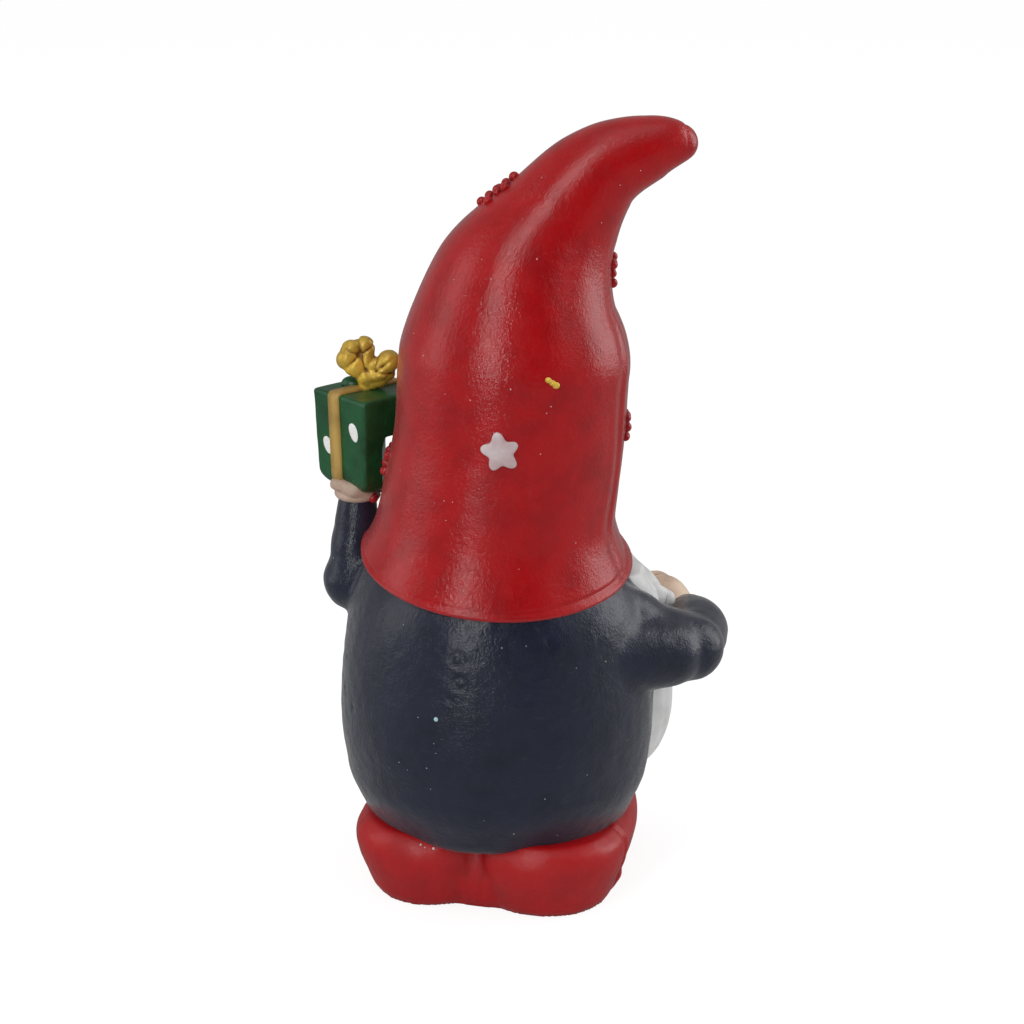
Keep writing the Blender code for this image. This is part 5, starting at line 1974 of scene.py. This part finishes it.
@dataclass
class Marks:
    """Bead clusters, white dots and specks that lie on the finished pieces."""

    hat: Hat
    present: Present
    surfaces: dict[str, Object]
    coat_specks: tuple = (
        (6.1, 21.7, 32.7), (3.5, 22.4, 29.1), (3.2, 22.5, 27.6), (9.3, 20.7, 24.9), (-3.8, 21.2, 41.9),
        (9.2, 18.5, 45.7), (4.2, 21.9, 21.6), (-3.8, 21.3, 17.2), (-7.8, 19.3, 14.6), (-23.2, 2.5, 40.7),
        (-17.7, 14.8, 23.4), (7.9, 21.2, 24.0), (4.7, 22.1, 25.0),
    )
    hat_specks: tuple = (
        (9.6, 9.2, 87.2), (7.2, 12.3, 84.9), (2.0, 16.8, 64.6), (3.4, 16.6, 64.6), (-0.6, 10.2, 99.1),
        (-2.4, 11.7, 96.7), (3.5, 10.3, 95.9), (-13.5, 8.7, 92.6), (-21.1, -0.6, 111.0), (-18.6, 1.1, 109.0),
        (1.2, 12.1, 94.1), (11.6, 11.3, 67.0), (3.0, 16.9, 61.8), (5.0, 16.1, 64.0),
    )
    boot_chips: tuple = ((6.9, 18.4, 10.9), (6.2, 18.6, 10.6), (4.9, 18.4, 10.5), (-1.9, 17.6, 10.6))
    blue_drop: tuple = (3.2, 22.3, 32.9)
    speck_radius: float = 0.09
    chip_radius: float = 0.22
    drop_radius: float = 0.42 * MM
    drop_sink: float = 0.25 * MM
    ring_beads: int = 6
    second_ring: float = 1.62
    missing_share: float = 0.35
    smallest_bead: float = 0.72
    dots: tuple = ((-3.5, 10.2, 1.00, 1.45), (2.9, 6.9, 0.95, 1.35))
    dot_profile: tuple = ((1.0, -0.35), (1.0, 0.02), (0.94, 0.10), (0.75, 0.15), (0.4, 0.17))
    dot_lean: float = 0.28
    drip_place: tuple = (2.5, 2.3)
    drip_radius: float = 0.8 * MM

    def snapped(self, piece: str, spots: Iterable[Sequence[float]], sink: float) -> list[Array]:
        """Bring spots in millimetres onto a piece's surface.

        Args:
            piece: Name of the finished piece.
            spots: Rough places in millimetres.
            sink: How far the spots are sunk, in metres.

        Returns:
            The places in metres.
        """
        mesh = self.surfaces[piece].data
        corners = [vert.co for vert in mesh.vertices]
        tree = BVHTree.FromPolygons(corners, [face.vertices for face in mesh.polygons])
        found = []
        for spot in spots:
            place, normal, _, _ = tree.find_nearest(Vector(spot) * MM)
            found.append(np.array(place - normal * sink))
        return found

    def rosette_spots(self) -> list[Array]:
        """Places of the beads in every cluster on the hat.

        Returns:
            Middles of the beads, in rings about each cluster's first.
        """
        rng = np.random.default_rng(7)
        spots = []
        for place, turn in self.hat.rosettes:
            angle = radians(turn)
            ahead = self.hat.point(place + 0.1, angle)[0]
            length = np.linalg.norm(ahead - self.hat.point(place, angle)[0]) / 0.1
            reach_round = float(self.hat.radius(np.array([place]))[0])
            for i in range(1 + 2 * self.ring_beads):
                outer = i > self.ring_beads
                ring = self.second_ring if outer else min(float(i), 1.0)
                way = tau * i / self.ring_beads + (0.5 if outer else 0.0)
                reach = self.hat.bead_spacing * ring * (1.0 + 0.10 * rng.standard_normal())
                if outer and rng.random() < self.missing_share:
                    continue
                spot_place = place + reach * sin(way) / length
                spot_angle = angle + reach * cos(way) / reach_round
                spots.append(self.hat.point(spot_place, spot_angle, 0.15 * self.hat.bead_radius)[0])
        return spots

    def box_dots(self) -> list[Shell]:
        """The white oval dots on the present's side.

        Returns:
            One thin closed shell for each dot.
        """
        shells = []
        slope = (self.present.top_width - self.present.bottom_width) * 0.5 / self.present.height
        turn = np.linspace(0.0, tau, 48, endpoint=False)
        for along, height, wide, tall in self.dots:
            face = self.present.half_width(height * MM)
            rings = []
            for share, lift in self.dot_profile:
                ring = []
                for angle in turn:
                    wobble = 1.0 + 0.05 * sin(2.0 * angle + along) + 0.03 * sin(3.0 * angle)
                    rise = share * tall * wobble * sin(angle)
                    x = along + share * wide * wobble * cos(angle) + self.dot_lean * rise
                    y = face / MM + slope * rise + lift
                    ring.append(self.present.at(x * MM, y * MM, (height + rise) * MM))
                rings.append(np.array(ring))
            shells.append(loft(rings))
        return shells

    def build(self) -> list[Object]:
        """Make the marks' pieces.

        Returns:
            Every mark's piece.
        """
        beads = BeadTree()
        made = []
        red = HAT_RED.build()
        spots = self.rosette_spots()
        clusters = beads.scatter(spots, self.hat.bead_radius, self.smallest_bead, 3, red)
        made.append(Casting("hat_beads", HAT_RED).dress(clusters))
        lint = LINT.build()
        for name, piece, places, size, seed in (
            ("hat_specks", "hat", self.hat_specks, self.speck_radius, 5),
            ("coat_specks", "coat", self.coat_specks, self.speck_radius, 6),
            ("boot_chips", "boots", self.boot_chips, self.chip_radius, 9),
        ):
            sunk = self.snapped(piece, places, 0.2 * size * MM)
            made.append(Casting(name, LINT).dress(beads.scatter(sunk, size * MM, 0.5, seed, lint)))
        drop = self.snapped("coat", [self.blue_drop], self.drop_sink)
        blue = PALE_BLUE.build()
        paint_drop = beads.scatter(drop, self.drop_radius, 1.0, 8, blue)
        made.append(Casting("coat_drop", PALE_BLUE).dress(paint_drop))
        made.append(Casting("present_dots", DOT_WHITE).place(self.box_dots()))
        right, near = self.drip_place
        centre = self.present.hands.palm_centre() + LEAN * (right * MM) + BACK * (near * MM)
        lump = ellipsoid(centre, np.full(3, self.drip_radius), 24)
        lump = raised(lump, hand_made(lump.points, 121, 0.15 * MM))
        made.append(Casting("hat_drip", HAT_RED).place([lump]))
        return made


@dataclass(frozen=True)
class Lamp:
    """A soft area lamp placed about the figure."""

    name: str
    azimuth: float
    elevation: float
    distance: float
    width: float
    height: float
    power: float

    def build(self, target: Vector) -> None:
        """Put the lamp in the scene.

        Args:
            target: The point aimed at.
        """
        way = direction(self.azimuth, self.elevation)
        data = bpy.data.lights.new(self.name, "AREA")
        data.shape = "RECTANGLE"
        data.size = self.width
        data.size_y = self.height
        data.energy = self.power
        lamp = bpy.data.objects.new(self.name, data)
        lamp.location = target + way * self.distance
        lamp.rotation_euler = (-way).to_track_quat("-Z", "Y").to_euler()
        bpy.context.scene.collection.objects.link(lamp)


def direction(azimuth: float, elevation: float) -> Vector:
    """Unit vector towards a side of the figure."""
    turn, rise = radians(azimuth), radians(elevation)
    return Vector((sin(turn) * cos(rise), -cos(turn) * cos(rise), sin(rise)))


@dataclass
class Studio:
    """Pale floor, white surroundings, lamps and the camera."""

    target: tuple = (-0.002173, -0.000582, 0.058)
    azimuth: float = 195.0
    elevation: float = 18.0
    distance: float = 0.45
    focal_pixels: float = 3001.5
    frame_pixels: float = 1024.0
    sensor: float = 36.0
    lamps: tuple = (
        Lamp("strip_left", 170.0, 30.0, 0.55, 0.045, 0.80, 1.15),
        Lamp("panel_left", 108.0, 18.0, 0.60, 0.30, 0.60, 0.60),
        Lamp("panel_right", 300.0, 18.0, 0.60, 0.40, 0.60, 1.60),
        Lamp("glint_right", 255.0, 24.0, 0.60, 0.03, 0.10, 0.05),
        Lamp("overhead", 190.0, 82.0, 0.70, 0.50, 0.50, 0.45),
    )

    floor_half: float = 3.0
    floor_bounce: float = 0.80
    floor_seen: float = 0.22
    floor_glow: float = 0.86
    floor_gleam: float = 0.25
    world_soft: float = 0.55
    world_gleam: float = 0.30
    world_white: float = 1.0
    card_turn: float = 26.0
    card_rise: float = 12.0
    card_distance: float = 0.75
    card_half_width: float = 0.22
    card_half_height: float = 0.45

    def camera(self) -> None:
        """Make the photo's camera."""
        way = direction(self.azimuth, self.elevation)
        data = bpy.data.cameras.new("photo_camera")
        data.sensor_width = self.sensor
        data.lens = self.focal_pixels / self.frame_pixels * self.sensor
        data.clip_start = 0.01
        data.clip_end = 50.0
        camera = bpy.data.objects.new("photo_camera", data)
        camera.location = Vector(self.target) + way * self.distance
        camera.rotation_euler = (-way).to_track_quat("-Z", "Y").to_euler()
        bpy.context.scene.collection.objects.link(camera)
        bpy.context.scene.camera = camera

    def floor(self) -> Object:
        """A pale floor that stays white to the camera and keeps a soft shadow.

        Returns:
            The floor.
        """
        material = bpy.data.materials.new("floor_white")
        material.use_nodes = True
        tree = ShaderTree(material)
        tree.nodes.remove(tree.nodes["Principled BSDF"])
        bounce = tree.add("ShaderNodeBsdfDiffuse", Color=(*[self.floor_bounce] * 3, 1.0))
        seen = tree.add("ShaderNodeBsdfDiffuse", Color=(*[self.floor_seen] * 3, 1.0))
        glow = tree.add("ShaderNodeEmission", Strength=self.floor_glow)
        both = tree.add("ShaderNodeAddShader")
        tree.link(seen.outputs[0], both.inputs[0])
        tree.link(glow.outputs[0], both.inputs[1])
        path = tree.add("ShaderNodeLightPath")
        dim = tree.add("ShaderNodeEmission", Strength=self.floor_gleam)
        lit = tree.add("ShaderNodeMixShader")
        tree.link(path.outputs["Is Glossy Ray"], lit.inputs[0])
        tree.link(bounce.outputs[0], lit.inputs[1])
        tree.link(dim.outputs[0], lit.inputs[2])
        choose = tree.add("ShaderNodeMixShader")
        tree.link(path.outputs["Is Camera Ray"], choose.inputs[0])
        tree.link(lit.outputs[0], choose.inputs[1])
        tree.link(both.outputs[0], choose.inputs[2])
        tree.link(choose.outputs[0], tree.nodes["Material Output"].inputs["Surface"])
        half = self.floor_half
        mesh = bpy.data.meshes.new("floor")
        corners = [(-half, -half, 0.0), (half, -half, 0.0), (half, half, 0.0), (-half, half, 0.0)]
        mesh.from_pydata(corners, [], [(0, 1, 2, 3)])
        mesh.materials.append(material)
        floor = bpy.data.objects.new("floor", mesh)
        bpy.context.scene.collection.objects.link(floor)
        return floor

    def surroundings(self) -> None:
        """White to the camera, softer for the light it gives."""
        world = bpy.data.worlds.new("studio")
        bpy.context.scene.world = world
        world.use_nodes = True
        tree = ShaderTree(world)
        soft = tree.nodes["Background"]
        soft.inputs["Color"].default_value = (1.0, 1.0, 1.0, 1.0)
        soft.inputs["Strength"].default_value = self.world_soft
        gleam = tree.add("ShaderNodeBackground", Strength=self.world_gleam)
        white = tree.add("ShaderNodeBackground", Strength=self.world_white)
        path = tree.add("ShaderNodeLightPath")
        lit = tree.add("ShaderNodeMixShader")
        tree.link(path.outputs["Is Glossy Ray"], lit.inputs[0])
        tree.link(soft.outputs[0], lit.inputs[1])
        tree.link(gleam.outputs[0], lit.inputs[2])
        choose = tree.add("ShaderNodeMixShader")
        tree.link(path.outputs["Is Camera Ray"], choose.inputs[0])
        tree.link(lit.outputs[0], choose.inputs[1])
        tree.link(white.outputs[0], choose.inputs[2])
        tree.link(choose.outputs[0], tree.nodes["World Output"].inputs["Surface"])

    def dark_card(self) -> None:
        """A dark card right of the camera that only shows in reflections."""
        material = bpy.data.materials.new("card_black")
        material.use_nodes = True
        shader = material.node_tree.nodes["Principled BSDF"]
        shader.inputs["Base Color"].default_value = (0.01, 0.01, 0.01, 1.0)
        shader.inputs["Roughness"].default_value = 0.9
        way = direction(self.azimuth + self.card_turn, self.card_rise)
        centre = Vector(self.target) + way * self.card_distance
        side = way.cross(Vector((0.0, 0.0, 1.0))).normalized()
        up = side.cross(way).normalized()
        side, up = side * self.card_half_width, up * self.card_half_height
        corners = [centre + side * x + up * y for x, y in ((-1, -1), (1, -1), (1, 1), (-1, 1))]
        mesh = bpy.data.meshes.new("dark_card")
        mesh.from_pydata([tuple(corner) for corner in corners], [], [(0, 1, 2, 3)])
        mesh.materials.append(material)
        card = bpy.data.objects.new("dark_card", mesh)
        bpy.context.scene.collection.objects.link(card)
        card.visible_camera = False
        card.visible_diffuse = False
        card.visible_shadow = False
        card.visible_transmission = False

    def build(self) -> None:
        """Set up the whole studio."""
        self.camera()
        self.floor()
        self.surroundings()
        self.dark_card()
        for lamp in self.lamps:
            lamp.build(Vector(self.target))
        bpy.context.scene.view_settings.view_transform = "Standard"


def main() -> None:
    """Build the figure's pieces in order, then the studio around it."""
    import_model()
    coat = Coat()
    hat = Hat()
    face = Face(coat)
    hands = Hands(coat)
    present = Present(hands)
    surfaces = {"coat": coat.build(), "boots": Boots().build(), "hat": hat.build()[0]}
    face.build()
    Beard(coat, face).build()
    hands.build()
    present.build()
    Marks(hat, present, surfaces).build()
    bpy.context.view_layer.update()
    Studio().build()


if __name__ == "__main__":
    main()
